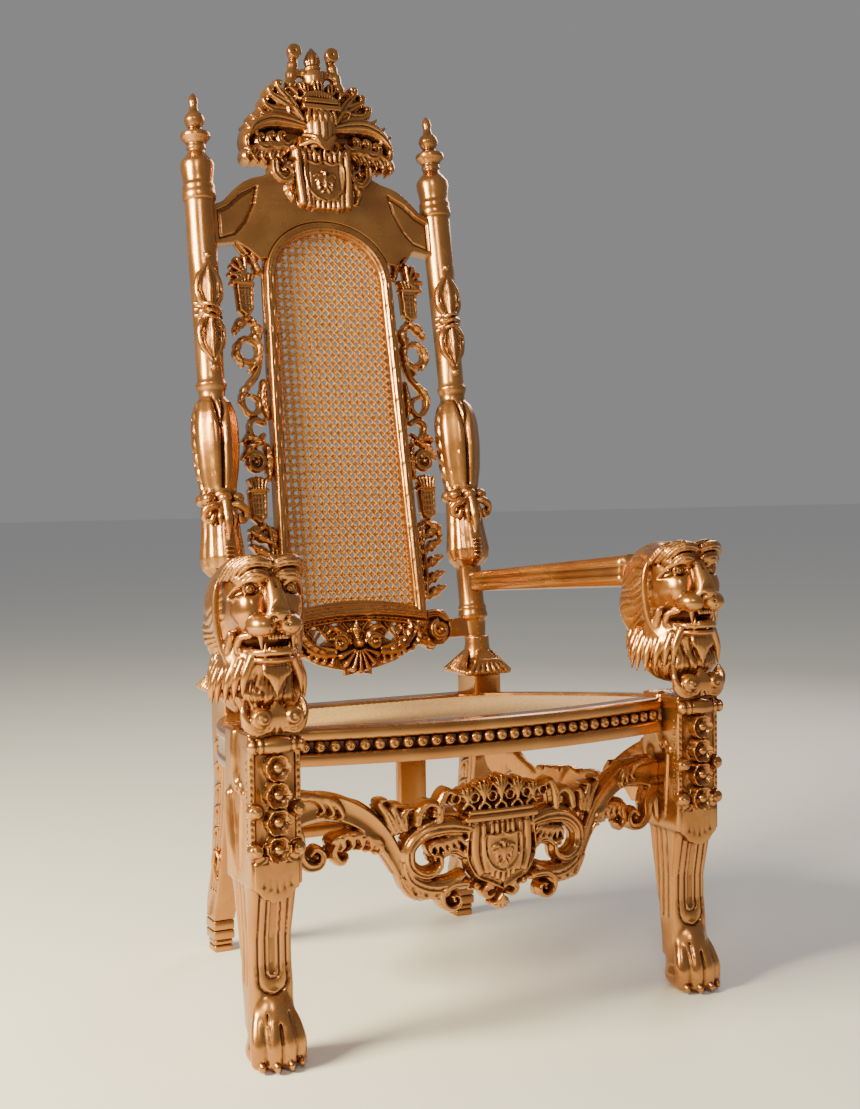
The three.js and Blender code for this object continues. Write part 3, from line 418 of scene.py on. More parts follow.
GOLD_DARK = (0.42, 0.165, 0.048, 1)
GOLD_LIGHT = (0.52, 0.240, 0.074, 1)
# Near-black red used as painted shade in the hollows of the lacquer
HOLLOW_SHADE_COLOUR = (0.040, 0.007, 0.006, 1)


def lacquer():
    """Gilded lacquer, with painted shade darkening the hollows."""
    mat = bpy.data.materials.new("gold_bronze_lacquer")
    mat.use_nodes = True
    tree = mat.node_tree
    link = tree.links.new
    shader = tree.nodes["Principled BSDF"]
    place = node(tree, "ShaderNodeTexCoord")
    hollow = node(tree, "ShaderNodeAttribute", attribute_name="hollow")
    cloud = node(tree, "ShaderNodeTexNoise")
    cloud.inputs["Scale"].default_value = 14
    cloud.inputs["Detail"].default_value = 6
    link(place.outputs["Object"], cloud.inputs["Vector"])
    tint = node(tree, "ShaderNodeValToRGB")
    tint.color_ramp.elements[0].position = 0.3
    tint.color_ramp.elements[0].color = GOLD_DARK
    tint.color_ramp.elements[1].position = 0.7
    tint.color_ramp.elements[1].color = GOLD_LIGHT
    link(cloud.outputs["Fac"], tint.inputs["Fac"])
    # Painted shade: the colour is darkened towards the shade colour by how deep each point lies in a hollow
    shade_mix = node(tree, "ShaderNodeMix", data_type="RGBA")
    shade_mix.inputs["B"].default_value = HOLLOW_SHADE_COLOUR
    link(hollow.outputs["Fac"], shade_mix.inputs["Factor"])
    link(tint.outputs["Color"], shade_mix.inputs["A"])
    link(shade_mix.outputs["Result"], shader.inputs["Base Color"])
    shader.inputs["Metallic"].default_value = 0.9
    rough = node(tree, "ShaderNodeMapRange")
    rough.inputs["From Min"].default_value = 0.3
    rough.inputs["From Max"].default_value = 0.7
    rough.inputs["To Min"].default_value = 0.20
    rough.inputs["To Max"].default_value = 0.32
    link(cloud.outputs["Fac"], rough.inputs["Value"])
    link(rough.outputs["Result"], shader.inputs["Roughness"])
    shader.inputs["Coat Weight"].default_value = 0.3
    shader.inputs["Coat Roughness"].default_value = 0.16
    stretch = node(tree, "ShaderNodeMapping")
    stretch.inputs["Scale"].default_value = (1, 1, 0.12)
    grain = node(tree, "ShaderNodeTexNoise")
    grain.inputs["Scale"].default_value = 420
    grain.inputs["Detail"].default_value = 3
    link(place.outputs["Object"], stretch.inputs["Vector"])
    link(stretch.outputs["Vector"], grain.inputs["Vector"])
    bump = node(tree, "ShaderNodeBump")
    bump.inputs["Strength"].default_value = 0.12
    bump.inputs["Distance"].default_value = 0.0006
    link(grain.outputs["Fac"], bump.inputs["Height"])
    link(bump.outputs["Normal"], shader.inputs["Normal"])
    return mat


def cane_material(name, dark, light, scale):
    mat = bpy.data.materials.new(name)
    mat.use_nodes = True
    tree = mat.node_tree
    link = tree.links.new
    shader = tree.nodes["Principled BSDF"]
    place = node(tree, "ShaderNodeTexCoord")
    fibre = node(tree, "ShaderNodeTexNoise")
    fibre.inputs["Scale"].default_value = scale
    fibre.inputs["Detail"].default_value = 5
    link(place.outputs["Object"], fibre.inputs["Vector"])
    ramp = node(tree, "ShaderNodeValToRGB")
    ramp.color_ramp.elements[0].position = 0.35
    ramp.color_ramp.elements[0].color = (*dark, 1)
    ramp.color_ramp.elements[1].position = 0.66
    ramp.color_ramp.elements[1].color = (*light, 1)
    link(fibre.outputs["Fac"], ramp.inputs["Fac"])
    link(ramp.outputs["Color"], shader.inputs["Base Color"])
    shader.inputs["Roughness"].default_value = 0.48
    bump = node(tree, "ShaderNodeBump")
    bump.inputs["Strength"].default_value = 0.4
    bump.inputs["Distance"].default_value = 0.0008
    link(fibre.outputs["Fac"], bump.inputs["Height"])
    link(bump.outputs["Normal"], shader.inputs["Normal"])
    return mat


LACQUER = lacquer()
CANE = cane_material("woven_cane", (0.34, 0.115, 0.02), (0.74, 0.36, 0.085), 260)
SEAT_CANE = cane_material("close_cane", (0.50, 0.26, 0.08), (0.86, 0.58, 0.27), 300)


# Front legs: paw, shank, flowered block, leaf collar and lion head

def fur(x, y, z):
    """Strands that run back over the mane and down the neck."""
    around = np.arctan2(x, z - 712 + 0.35 * (y - 60))
    wave = 1.3 * np.sin(y * 0.075 + 2.2 * np.sin(around * 3)) + 0.8 * np.sin(z * 0.06)
    mane = np.abs(np.sin(around * 15 + wave))**0.7
    down = np.arctan2(x, 46 - y)
    locks = np.abs(np.sin(down * 9 + 1.1 * np.sin(z * 0.085 + 3 * np.sin(down * 2))))**0.6
    fine = 0.5 + 0.5 * np.sin(down * 52 + 5 * np.sin(z * 0.05))
    mix = np.clip((655 - z) / 25, 0, 1)
    return (1 - mix) * (1 - mane) * 2.4 + mix * ((1 - locks) * 4.0 + fine * 1.5)


def lion_head(clay):
    clay.egg((0, 86, 726), (70, 81, 84), 0)
    clay.egg((0, 118, 690), (66, 49, 70), 8)
    clay.egg((0, 44, 766), (60, 60, 44), 12)
    clay.egg((0, 20, 730), (56, 52, 64), 10)
    clay.egg((0, 40, 640), (66, 66, 62), 14)
    clay.egg((0, 34, 596), (68, 62, 42), 14)

    def mane_and_neck(x, y, z):
        return fur(x, y, z) * np.maximum(np.clip((y - 38) / 12, 0, 1), np.clip((640 - z) / 12, 0, 1))
    clay.carve(mane_and_neck, (-90, -60, 545), (90, 170, 820))
    for s in (-1, 1):
        clay.rod([(s * 46, -2, 628), (s * 62, 26, 656), (s * 70, 36, 700), (s * 72, 38, 745),
                  (s * 64, 34, 780), (s * 50, 24, 798)], (4, 5, 6, 6, 5, 4), 4, count=16)
        clay.egg((s * 31, 4, 730), (26, 38, 38), 8)
        clay.egg((s * 22, -30, 706), (23, 30, 20), 3)
        clay.egg((s * 24, -16, 784), (23, 20, 15), 6)
        clay.egg((s * 46, -2, 778), (14, 18, 10), 6)
        clay.egg((s * 36, -22, 763), (17, 14, 11), 3, cut=True)
        clay.rod([(s * 40, -18, 763), (s * 52, -6, 756), (s * 60, 10, 746)], (8, 6, 2.5), 2, cut=True)
        clay.egg((s * 33, -12, 762), (12.5, 9, 12.5), 0.5)
        clay.rod([(s * 18, -26, 768), (s * 34, -27, 777), (s * 50, -10, 769), (s * 62, 12, 748)],
                 (3, 4, 3.4, 2), 2)
        clay.rod([(s * 22, -26, 752), (s * 36, -23, 748), (s * 50, -9, 746), (s * 62, 12, 744)],
                 (2.5, 3, 3, 2), 2)

        def rings(x, y, z, s=s):
            r = np.hypot(x - s * 33, z - 762)
            return np.where(y < 0, 3.0 * np.exp(-((r - 8.2) / 1.3)**2) + 2.6 * np.exp(-((r - 3.6) / 1.2)**2),
                            0)
        clay.carve(rings, (s * 33 - 12, -40, 750), (s * 33 + 12, 0, 775))
        # Loop at the corner of the mouth, and the hollow of the cheek
        clay.rod([(s * 34, -16, 690), (s * 46, 0, 684), (s * 48, 6, 670), (s * 42, -2, 658),
                  (s * 32, -16, 656)], (5, 6, 6.5, 6.5, 6), 3, count=18)
        clay.egg((s * 62, 4, 700), (12, 22, 16), 5, cut=True)
        clay.rod([(s * 54, 16, 690), (s * 56, 22, 664), (s * 46, 14, 644)], (7, 8, 5), 4)
    clay.rod([(0, -48, 728), (0, -38, 748), (0, -26, 770)], (18, 15, 12), 4)
    clay.box((-34, -80, 728), (34, -57, 800), 0, 3, cut=True)
    clay.egg((0, -50, 723), (21, 14, 10), 3)
    clay.egg((0, 18, 675), (42, 60, 14), 2, cut=True)
    clay.egg((0, -24, 677), (35, 46, 13), 2, cut=True)
    clay.egg((0, -20, 652), (35, 31, 10), 4)
    clay.rod([(-38, 2, 664), (-29, -32, 664), (0, -50, 665), (29, -32, 664), (38, 2, 664)], 5.5, 1.5,
             count=18)
    clay.egg((0, -12, 661), (15, 28, 7), 3)
    clay.egg((0, 44, 676), (50, 34, 22), 6)
    clay.rod([(0, -68, 722), (0, -64, 704), (0, -52, 690)], (1.6, 3.0, 3.5), 2, cut=True)
    for s in (-1, 1):
        clay.egg((s * 12, -62, 718), (6.5, 9, 5), 1.5, cut=True)
        clay.rod([(s * 27, -41, 692), (s * 26, -43, 670)], (5, 1.4), 1)
        clay.rod([(s * 20, -43, 662), (s * 20, -43, 680)], (4.4, 1.4), 1)
        for a, b in ((14, 708), (21, 712), (28, 711), (35, 706), (17, 700), (25, 702), (33, 699)):
            clay.egg((s * a, -58 + 0.02 * a * a, b), (1.6, 7, 1.6), 0.4, cut=True)
    for x in (-14, -9, -3, 3, 9, 14):
        clay.egg((x, -48, 688), (2.8, 3, 4.4))
        clay.egg((x, -47, 670), (2.6, 3, 4))
    clay.rod([(0, -40, 800), (0, -36, 782), (0, -42, 766)], (2, 4.5, 2), 4, cut=True)
    # Locks over the forehead, parted in the middle
    for s in (-1, 1):
        clay.rod([(s * 5, -28, 800), (s * 26, -30, 806), (s * 48, -14, 797), (s * 62, 12, 778)],
                 (7, 11, 11, 6), 3, count=16)
        clay.rod([(s * 6, -10, 806), (s * 30, -8, 808), (s * 54, 8, 796), (s * 66, 26, 776)], (7, 9, 10, 6),
                 3, count=16)

    def strands(x, y, z):
        ring = np.hypot(np.abs(x) - 28, z - 752) + 0.5 * np.clip(y + 30, 0, 80)
        cut = (1 - np.abs(np.sin(ring * 0.5))**0.7) * 3.4
        return cut * np.clip((z - 786 + 0.3 * np.abs(x)) / 6, 0, 1) * np.clip((44 - y) / 12, 0, 1)
    clay.carve(strands, (-76, -46, 770), (76, 46, 818))
    clay.rod([(0, -50, 812), (0, -34, 804), (0, 10, 812)], (3, 4, 3), 3, cut=True)
    # Beard
    for x in (-18, -12, -6, 0, 6, 12, 18):
        clay.rod([(x * 0.9, -30, 652), (x, -39, 630), (x * 0.6, -38, 594 + abs(x) * 1.5)], (5, 4.6, 1.4), 0.8)
    # Ends of the fur
    for s in (-1, 1):
        for y, low, out in ((-20, 596, 50), (-8, 590, 60), (10, 584, 68), (32, 580, 74), (56, 578, 75),
                            (80, 580, 70), (104, 592, 58), (124, 610, 44)):
            clay.rod([(s * (out - 16), y, low + 58), (s * (out - 4), y + 2, low + 28),
                      (s * (out - 1), y + 4, low)], (8, 7, 1.5), 1.5)
            clay.rod([(s * (out - 18), y + 8, low + 70), (s * (out - 6), y + 11, low + 44),
                      (s * out, y + 14, low + 20)], (6, 5.5, 1.5), 1.5)


def leaf_collar(clay):
    for s in (-1, 1):
        clay.egg((s * 26, -34, 562), (19, 18, 18), 2)
        clay.carve(lambda x, y, z, s=s: np.where(y < -28, 2.6 * (0.5 + 0.5 * np.cos(
            np.arctan2(z - 562, s * (x - s * 26)) + 0.62 * np.hypot(x - s * 26, z - 562))), 0),
            (s * 26 - 18, -60, 544), (s * 26 + 18, -24, 582))
        for i in range(4):
            clay.rod([(s * (48 - 2 * i), -20 + 2 * i, 588 - 4 * i), (s * (52 - i), -26, 572 - 7 * i),
                      (s * (44 - 3 * i), -32, 554 - 5 * i), (s * (30 - 7 * i), -34, 548 - 2 * i)],
                     (3, 5.5, 5, 2), 1.2)
    for i in range(-3, 4):
        clay.rod([(0, -30, 584), (i * 4, -38, 566), (i * 9, -34, 546), (i * 12, -31, 536 + abs(i))],
                 (3, 5, 6, 2.5), 1.0)


def paw(clay):
    clay.egg((0, 14, 62), (38, 44, 62), 10)
    clay.egg((0, 8, 24), (44, 44, 30), 10)
    for x, y in ((-33, -6), (-12, -17), (12, -17), (33, -6)):
        clay.rod([(x * 0.66, 4, 94), (x * 0.86, y - 2, 68), (x, y - 12, 40), (x, y - 13, 17)],
                 (9, 13.5, 14.5, 13), 3.5)
        clay.egg((x, y - 25, 11), (5.5, 8, 9), 1.2)
        clay.carve(lambda px, py, pz, x=x, y=y: np.where(py < y - 18, 1.2 * np.exp(
            -((np.hypot(px - x, pz - 12) - 8) / 1.3)**2), 0), (x - 12, y - 40, 0), (x + 12, y - 10, 30))
    for x in (-23, 0, 23):
        clay.rod([(x, -52, 4), (x, -46, 34), (x * 0.84, -26, 74), (x * 0.66, -10, 100)], (2.4, 3, 2.6, 1.2),
                 2.5, cut=True)


def shank(clay):
    levels = np.array([60, 95, 126, 165, 205, 245, 275, 304], float)
    half = np.array([34, 36, 37, 36.5, 36.5, 38.5, 40, 42])
    front = np.array([-2, -4, -2, 3, 3, -5, -11, -19])
    back = np.array([52, 52, 55, 63, 70, 76, 79, 82])

    def shape(x, y, z):
        h, f, b = (np.interp(z, levels, v).astype(np.float32) for v in (half, front, back))
        q = [np.abs(x) - h + 14, np.abs(y - (f + b) / 2) - (b - f) / 2 + 14]
        out = np.hypot(np.maximum(q[0], 0), np.maximum(q[1], 0)) + np.minimum(np.maximum(q[0], q[1]), 0) - 14
        return np.maximum(out, np.maximum(z - 306, 60 - z))
    clay.press(shape, (-44, -22, 60), (44, 84, 306), 8)

    def flutes(x, y, z):
        near_front = np.clip((18 - y) / 10, 0, 1)
        rings = []
        for wide, foot, size in ((24, 140, 2.4), (11.5, 152, 2.2)):
            bend = np.where(z > foot, np.abs(x) - wide, np.hypot(x, z - foot) - wide)
            rings.append(np.exp(-(bend / size)**2) * 3.6)
        panel = np.where(z > 152, np.abs(x) - 7, np.hypot(x, z - 152) - 7)
        sunk = np.clip(-panel, 0, 2) * 1.4
        front_cut = (rings[0] + rings[1] + sunk) * near_front * np.clip((z - 100) / 8, 0, 1)
        sides = sum(np.exp(-((y - at) / 3.4)**2) for at in (22, 37, 52)) * np.clip((np.abs(x) - 26) / 6, 0, 1)
        return front_cut + 3.0 * sides * np.clip((z - 122) / 12, 0, 1) * np.clip((300 - z) / 12, 0, 1)
    clay.carve(flutes, (-44, -26, 96), (44, 84, 300))


def leg_block(clay):
    clay.box((-44, -24, 292), (44, 88, 538), 5, 4)
    clay.box((-34, -40, 330), (34, -20, 504), 0, 1.5, cut=True)

    def tongue(x, y, z):
        hang = 266 + 24 * (np.abs(x) / 37)**2 + 3.5 * np.abs(np.cos(x / 37 * 2.5 * np.pi))
        return np.maximum(np.maximum(np.abs(x) - 37, (hang - z) * 0.8),
                          np.maximum(np.abs(y + 12) - 15, z - 344))
    # Scalloped tongue under the flowers
    clay.press(tongue, (-38, -28, 262), (38, 4, 344), 1)
    for x in (-22, -11, 0, 11, 22):
        clay.rod([(x, -28, 312 - abs(x) * 0.2), (x * 1.05, -28, 286 + abs(x) * 0.4)], (1, 2.6), 1, cut=True,
                 count=3)
    for z0 in (482, 439, 396, 353):
        def flower(x, y, z, z0=z0):
            r = np.hypot(x, z - z0)
            turn = np.arctan2(z - z0, x)
            size = 21.5 * (0.86 + 0.14 * np.abs(np.cos(3 * turn))**0.6)
            cup = 5 + 13 * np.clip(r / 21, 0, 1.1)**2 - 1.1 * np.cos(30 * turn) * np.clip(r / 21, 0, 1)
            solid = np.maximum(-24 - y - cup, y + 12)
            return np.maximum(solid * 0.7, r - size)
        clay.press(flower, (-22, -46, z0 - 22), (22, -12, z0 + 22), 0.6)
        clay.egg((0, -33, z0), (8.6, 10, 8.6), 0.5)
    for z0 in (414, 352):
        for s in (-1, 1):
            clay.egg((s * 35, -24, z0), (14, 15, 13), 2)
            clay.carve(lambda x, y, z, s=s, z0=z0: np.where(y < -22, 1.8 * (0.5 + 0.5 * np.cos(
                np.arctan2(z - z0, s * (x - s * 35)) + 0.8 * np.hypot(x - s * 35, z - z0))), 0),
                (s * 35 - 13, -44, z0 - 13), (s * 35 + 13, -20, z0 + 13))
    clay.turned([(-50, 0), (-47, 7), (-42, 12), (-38, 12), (-36, 8.5), (-32, 8.5), (-30, 12.5), (-26, 13),
                 (-23, 9.5), (-20, 12), (0, 15), (20, 12), (23, 9.5), (26, 13), (30, 12.5), (32, 8.5),
                 (36, 8.5), (38, 12), (42, 12), (47, 7), (50, 0)], 0, (0, -29, 517), (-50, -46, 500),
                (50, -12, 534), 1)
    for s in (-1, 1):
        for z in np.arange(350, 500, 11.0):
            clay.egg((s * 45, -12, z), (4, 2.2, 2.6), 0.5, cut=True)
            clay.egg((s * 39, -25, z + 5), (2.0, 4, 2.4), 0.5, cut=True)
        # Raised side band that comes down from the neck and ends in a curl
        clay.rod([(s * 38, 40, 530), (s * 41, 38, 500), (s * 42, 34, 466), (s * 42, 26, 446)],
                 (12, 12, 10, 8), 2)
        clay.egg((s * 44, 20, 446), (5, 12, 12), 1.5)
        clay.egg((s * 50, 20, 446), (4, 3.5, 3.5), 1, cut=True)
        clay.rod([(s * 43, 62, 430), (s * 43, 58, 380), (s * 42, 50, 330), (s * 40, 44, 300)],
                 (10, 12, 12, 8), 3)
        clay.rod([(s * 43, 8, 436), (s * 43, 12, 380), (s * 42, 18, 320)], (5, 6, 5), 2)
        clay.egg((s * 44, 4, 438), (4, 8, 8), 1)


def front_legs():
    clay = Clay((-82, -64, 0), (82, 168, 815), HEAD_STEP)
    paw(clay)
    shank(clay)
    leg_block(clay)
    lion_head(clay)
    leaf_collar(clay)
    clay.d = np.maximum(clay.d, -(clay.low[2] + clay.step * np.arange(clay.size[2]))[None, None, :])
    points, tris, quads, hollow = clay.mesh(0.02)
    points = points + [LEG_X, 0, 0]
    pair("lion_leg", points, tris, quads, hollow, "front_leg")


front_legs()


# The back group: outlines are given as x and real height

def frame_half(h):
    return 154 - 13 * (h - 765) / 533


def arch(grow, foot):
    """The outline of the caned opening, grown by an amount."""
    half = frame_half(641) - 24 + grow
    outline = [(x, foot + 16 * (1 - (x / half)**2)) for x in np.linspace(-half, half, 25)]
    half = frame_half(1330) - 24 + grow
    rise = 1434 + grow - 1330
    return outline + [(half * math.cos(a), 1330 + rise * math.sin(a)**0.9) for a in np.linspace(0, np.pi, 49)]


def carved(name, relief, back, nodes, both=True, extra=None, adapt=0.0):
    clay = relief.clay(back, both)
    if extra:
        extra(clay)
        y = clay.low[1] + clay.step * np.arange(clay.size[1])
        clay.d = np.maximum(clay.d, (y - back)[None, :, None])
    points, tris, quads, hollow = clay.mesh(adapt)
    make(name, lean_back(points), tris, quads, LACQUER, hollow, nodes=nodes)


def ring(x, z, wide, high, count=14, slant=0.0, endpoint=True):
    """Points round an ellipse, which may lean over."""
    turn = np.linspace(0, 2 * np.pi, count, endpoint=endpoint)
    rise = high * np.sin(turn)
    return np.stack([x + wide * np.cos(turn) + slant * rise, z + rise], 1)


def acanthus(relief, points, width, height, base, lobes=4):
    relief.stroke(points, width, height, base, "leaf", lobes)


def volute(relief, x, z, radius, start, turns, height, base, band=0.42):
    relief.stroke(spiral(x, z, radius * (1 - band / 2), start, turns), radius * band * np.linspace(1, 0.6, 5),
                  height, base, "dish")
    relief.dot(x, z, radius * 0.26, height * 1.15, base)


def bird(relief, x, z, size, base, height):
    relief.stroke([(x, z - 0.28 * size), (x, z), (x, z + 0.24 * size)],
                  [0.12 * size, 0.26 * size, 0.12 * size], height, base, count=14)
    relief.stroke([(x, z + 0.2 * size), (x, z + 0.36 * size), (x + 0.12 * size, z + 0.36 * size)],
                  [0.12 * size, 0.15 * size, 0.05 * size], height, base, count=10)
    for s in (-1, 1):
        for k in range(4):
            out, low = 0.46 - 0.07 * k, 0.24 - 0.17 * k
            relief.stroke([(x + s * 0.06 * size, z + (0.12 - 0.05 * k) * size),
                           (x + s * 0.28 * size, z + 0.26 * size - 0.12 * k * size),
                           (x + s * out * size, z + low * size - 0.06 * size)],
                          [0.09 * size, 0.13 * size, 0.05 * size], height * 0.8, base, count=12)
        relief.stroke([(x, z - 0.2 * size), (x + s * 0.14 * size, z - 0.44 * size)], 0.1 * size, height * 0.7,
                      base, count=6)
        relief.stroke([(x + s * 0.08 * size, z - 0.1 * size), (x + s * 0.28 * size, z - 0.32 * size)],
                      0.06 * size, height * 0.7, base, count=6)


def palmette(relief, x, z, top, reach, base, height, blades=5):
    """A small shell leaf: rounded blades that fan out from its foot."""
    for k in range(blades):
        turn = (k - (blades - 1) / 2) / ((blades - 1) / 2)
        tip = (x + reach * math.sin(turn * 1.05), z + (top - z) * (0.55 + 0.45 * math.cos(turn * 1.2)))
        middle = (x + 0.45 * reach * math.sin(turn), z + 0.5 * (top - z))
        relief.stroke([(x, z), middle, tip], [4, reach * 0.52, reach * 0.42], height * (1 - 0.15 * abs(turn)),
                      base, count=14)


def crest_relief():
    r = Relief((-252, 1365.4), (252, 1840), 1.4)
    plume_board = [(0, 1600), (60, 1560), (110, 1568), (136, 1576), (150, 1590), (158, 1612), (152, 1640),
                   (136, 1662), (118, 1680), (104, 1700), (86, 1714), (70, 1700), (0, 1694)]
    r.field(plume_board, 17)
    wing = spline([(131, 1545), (165, 1534), (196, 1511), (219, 1488), (244, 1477)], 24).tolist()
    foot = [(244, 1398), (218, 1402), (195, 1406), (172, 1392), (150, 1374), (120, 1378), (0, 1440)]
    r.field([(0, 1600), (66, 1600), (72, 1562), (110, 1556)] + wing + foot, 31, 3)
    panel = [(233, 1468), (210, 1479), (182, 1504), (144, 1524), (153, 1484), (172, 1446), (196, 1420),
             (233, 1409)]
    r.field(panel, 25, 0, True)
    inner = [(228, 1463), (207, 1473), (178, 1498), (151, 1514), (159, 1484), (177, 1450), (198, 1426),
             (228, 1415)]
    r.field(inner, 28, 2)
    # Shield with reeds and a small shield with a spread bird
    r.field([(0, 1478), (40, 1486), (58, 1492), (67, 1602), (30, 1608), (0, 1600)], 38, 3)
    r.stroke([(55, 1602), (54, 1545), (50, 1492)], 17, 11, 36)
    r.stroke([(39, 1602), (39, 1545), (36, 1488)], 13, 9, 36)
    for x in (6, 17, 28):
        r.stroke([(x, 1600), (x, 1574)], 10, 7, 37, count=6)
        r.stroke([(x, 1510 + x * 0.5), (x, 1484 + x * 0.1)], 10, 7, 37, count=6)
    small = [(0, 1496), (20, 1504), (33, 1516), (34, 1578), (17, 1573), (0, 1580)]
    r.field(small, 44, 3, True)
    r.stroke(small, 4, 4.5, 43, count=30)
    bird(r, 0, 1538, 52, 44, 7)
    for k in range(4):
        r.stroke([(4 + 17 * k, 1604), (12 + 15 * k, 1596 + 3 * (k % 2)), (22 + 14 * k, 1608)], [6, 10, 6], 10,
                 36, count=10)
    # Scrolls beside the shield
    r.stroke([(104, 1574), (102, 1552), (86, 1538), (70, 1546), (70, 1562), (82, 1566), (88, 1558)],
             [16, 16, 14, 12, 10, 8, 6], 14, 30, "dish", count=50)
    r.dot(83, 1558, 4, 14, 30)
    acanthus(r, [(66, 1542), (78, 1522), (70, 1496)], [10, 18, 8], 12, 30, 3)
    # Toothed leaf at the bottom of the plume
    for i in range(5):
        x, z = 76 + 18 * i, 1597 - 1.2 * i
        r.stroke([(x - 12, z + 12), (x + 6, z + 6), (x + 14, z - 10), (x + 8, z - 22)], [18, 24, 20, 4], 17,
                 18, "vein")
    r.stroke([(62, 1604), (100, 1611), (140, 1604), (158, 1590)], [10, 14, 14, 8], 20, 20, "vein")
    # Three curls below the large leaf, and its end folded down
    for x, z in ((74, 1630), (98, 1628), (121, 1622)):
        r.stroke([(x - 17, z - 10), (x - 5, z - 19), (x + 12, z - 12), (x + 14, z + 3), (x + 4, z + 8),
                  (x, z)], [18, 25, 25, 19, 12, 6], 17, 22, "vein", count=36)
        r.dot(x + 4, z, 4.6, 18, 22)
    r.stroke([(138, 1652), (156, 1634), (160, 1608), (152, 1588)], [18, 20, 18, 8], 19, 20, "vein")
    # The large leaf and the curls over it
    r.stroke([(34, 1652), (68, 1660), (106, 1662), (140, 1646), (158, 1622)], [20, 32, 36, 28, 10], 18, 30,
             "vein")
    for x, z in ((128, 1676), (146, 1660), (158, 1642)):
        r.stroke([(x - 18, z - 8), (x - 4, z - 2), (x + 4, z + 6)], [14, 14, 5], 16, 28, "vein")
    r.stroke([(44, 1668), (72, 1682), (98, 1684), (116, 1694), (118, 1704), (110, 1706)],
             [16, 28, 30, 24, 14, 8], 17, 26, "vein", count=36)
    r.stroke([(42, 1668), (62, 1694), (84, 1706), (102, 1716), (106, 1726), (97, 1729)],
             [14, 28, 30, 24, 15, 9], 18, 26, "vein", count=36)
    r.stroke([(40, 1668), (54, 1694), (70, 1714), (84, 1728), (88, 1741), (78, 1742)],
             [14, 24, 28, 23, 15, 9], 20, 26, "vein", count=36)
    r.stroke([(38, 1664), (48, 1680), (58, 1690), (68, 1688), (66, 1678)], [10, 14, 12, 9, 6], 20, 30, "vein")
    for x, z in ((110, 1701), (98, 1723), (79, 1738)):
        r.dot(x, z, 4.5, 19, 26)
    for x, z in ((118, 1584), (92, 1583), (66, 1584)):
        r.hole(ring(x, z - 4, 5, 4))
    # Crown: a scalloped arch with leaf palmettes
    r.field([(0, 1704), (40, 1704), (67, 1722), (62, 1734), (0, 1736)], 22, 0)
    for x, top, w in ((0, 1758, 34), (30, 1749, 28), (58, 1733, 24)):
        r.stroke([(x * 0.74, 1708), (x, 1728), (x * 1.08, top)], [16, w, 10], 22, 24, "leaf", 2)
        for k in (-1, 0, 1):
            r.stroke([(x * 0.8, 1714), (x + k * 7, 1728), (x * 1.08 + k * 9, top - 4 - 3 * abs(k))],
                     [4, 7, 3], 12, 38, count=12)
    r.stroke([(40, 1707), (24, 1716), (0, 1721)], [10, 16, 20], 14, 38, "round")
    for i in range(7):
        r.stroke([(5.6 * i, 1708), (6.1 * i, 1725 - 0.42 * i * i)], [2.6, 4], 4, 49, count=8)
    r.hole(arch(24.4, 641))
    return r


def crest_round_parts(clay):
    clay.turned([(1606, 30), (1620, 34), (1640, 37), (1660, 37), (1684, 34)], 2, (0, -14, 0),
                (-44, -58, 1610), (44, 30, 1684), 1, lambda z, a: 3.4 * (1 - np.abs(np.sin(a * 7))**0.8)
                * np.clip((z - 1620) / 10, 0, 1))
    clay.rod([(-36, -22, 1634), (-18, -48, 1622), (0, -52, 1608), (18, -48, 1622), (36, -22, 1634)],
             (4, 5, 6, 5, 4), 1.5, count=20)
    clay.rod([(-44, -22, 1612), (-20, -42, 1616), (0, -50, 1600), (20, -42, 1616), (44, -22, 1612)],
             (5, 6, 5, 6, 5), 1.5, count=20)
    for x in range(-30, 31, 12):
        clay.rod([(x * 0.9, -40, 1680), (x, -50 + 0.012 * x * x, 1668),
                  (x * 1.06, -49 + 0.012 * x * x, 1656)], (4, 5, 1.5), 1)
    for z, half in ((1688, 42), (1701, 37)):
        clay.box((-half, -48, z - 5), (half, 10, z + 5), 2, 0.5)
        clay.rod([(-half, -48, z), (half, -48, z)], 1.2, 0.6, cut=True, count=3)
    clay.turned([(1704, 20), (1738, 18), (1748, 22), (1760, 24), (1772, 21), (1776, 16), (1779, 18),
                 (1782, 18), (1785, 15), (1794, 18), (1802, 17), (1814, 11), (1828, 0.5)], 2, (0, -11, 0),
                (-28, -40, 1704), (28, 18, 1828), 0.5, lambda z, a: 1.8 * (1 - np.abs(np.sin(a * 6)))
                * np.clip((z - 1784) / 4, 0, 1))
    for s in (-1, 1):
        rings = [12, 12.5, 14.5, 11.5, 11.8, 13.6, 10.8, 11, 12.8, 10, 10, 11.6, 9, 9]
        clay.rod([(s * 61, -11, 1704), (s * 51, -11, 1754), (s * 41, -9, 1800)], rings, 0, count=56)
        clay.turned([(-28, 0), (-27, 13), (-24, 15), (-14, 15), (-8, 13), (2, 8), (8, 1)], 1,
                    (s * 42, 0, 1811.5), (s * 42 - 16, -28, 1795), (s * 42 + 16, 8, 1828), 1)
        clay.egg((s * 42, -28, 1811.5), (2.4, 4, 2.4), 0.5, cut=True)
        clay.rod([(s * 8, -12, 1768), (s * 48, -12, 1768)], [8, 8, 9, 11, 7, 7, 10, 7, 8], 1, count=26)


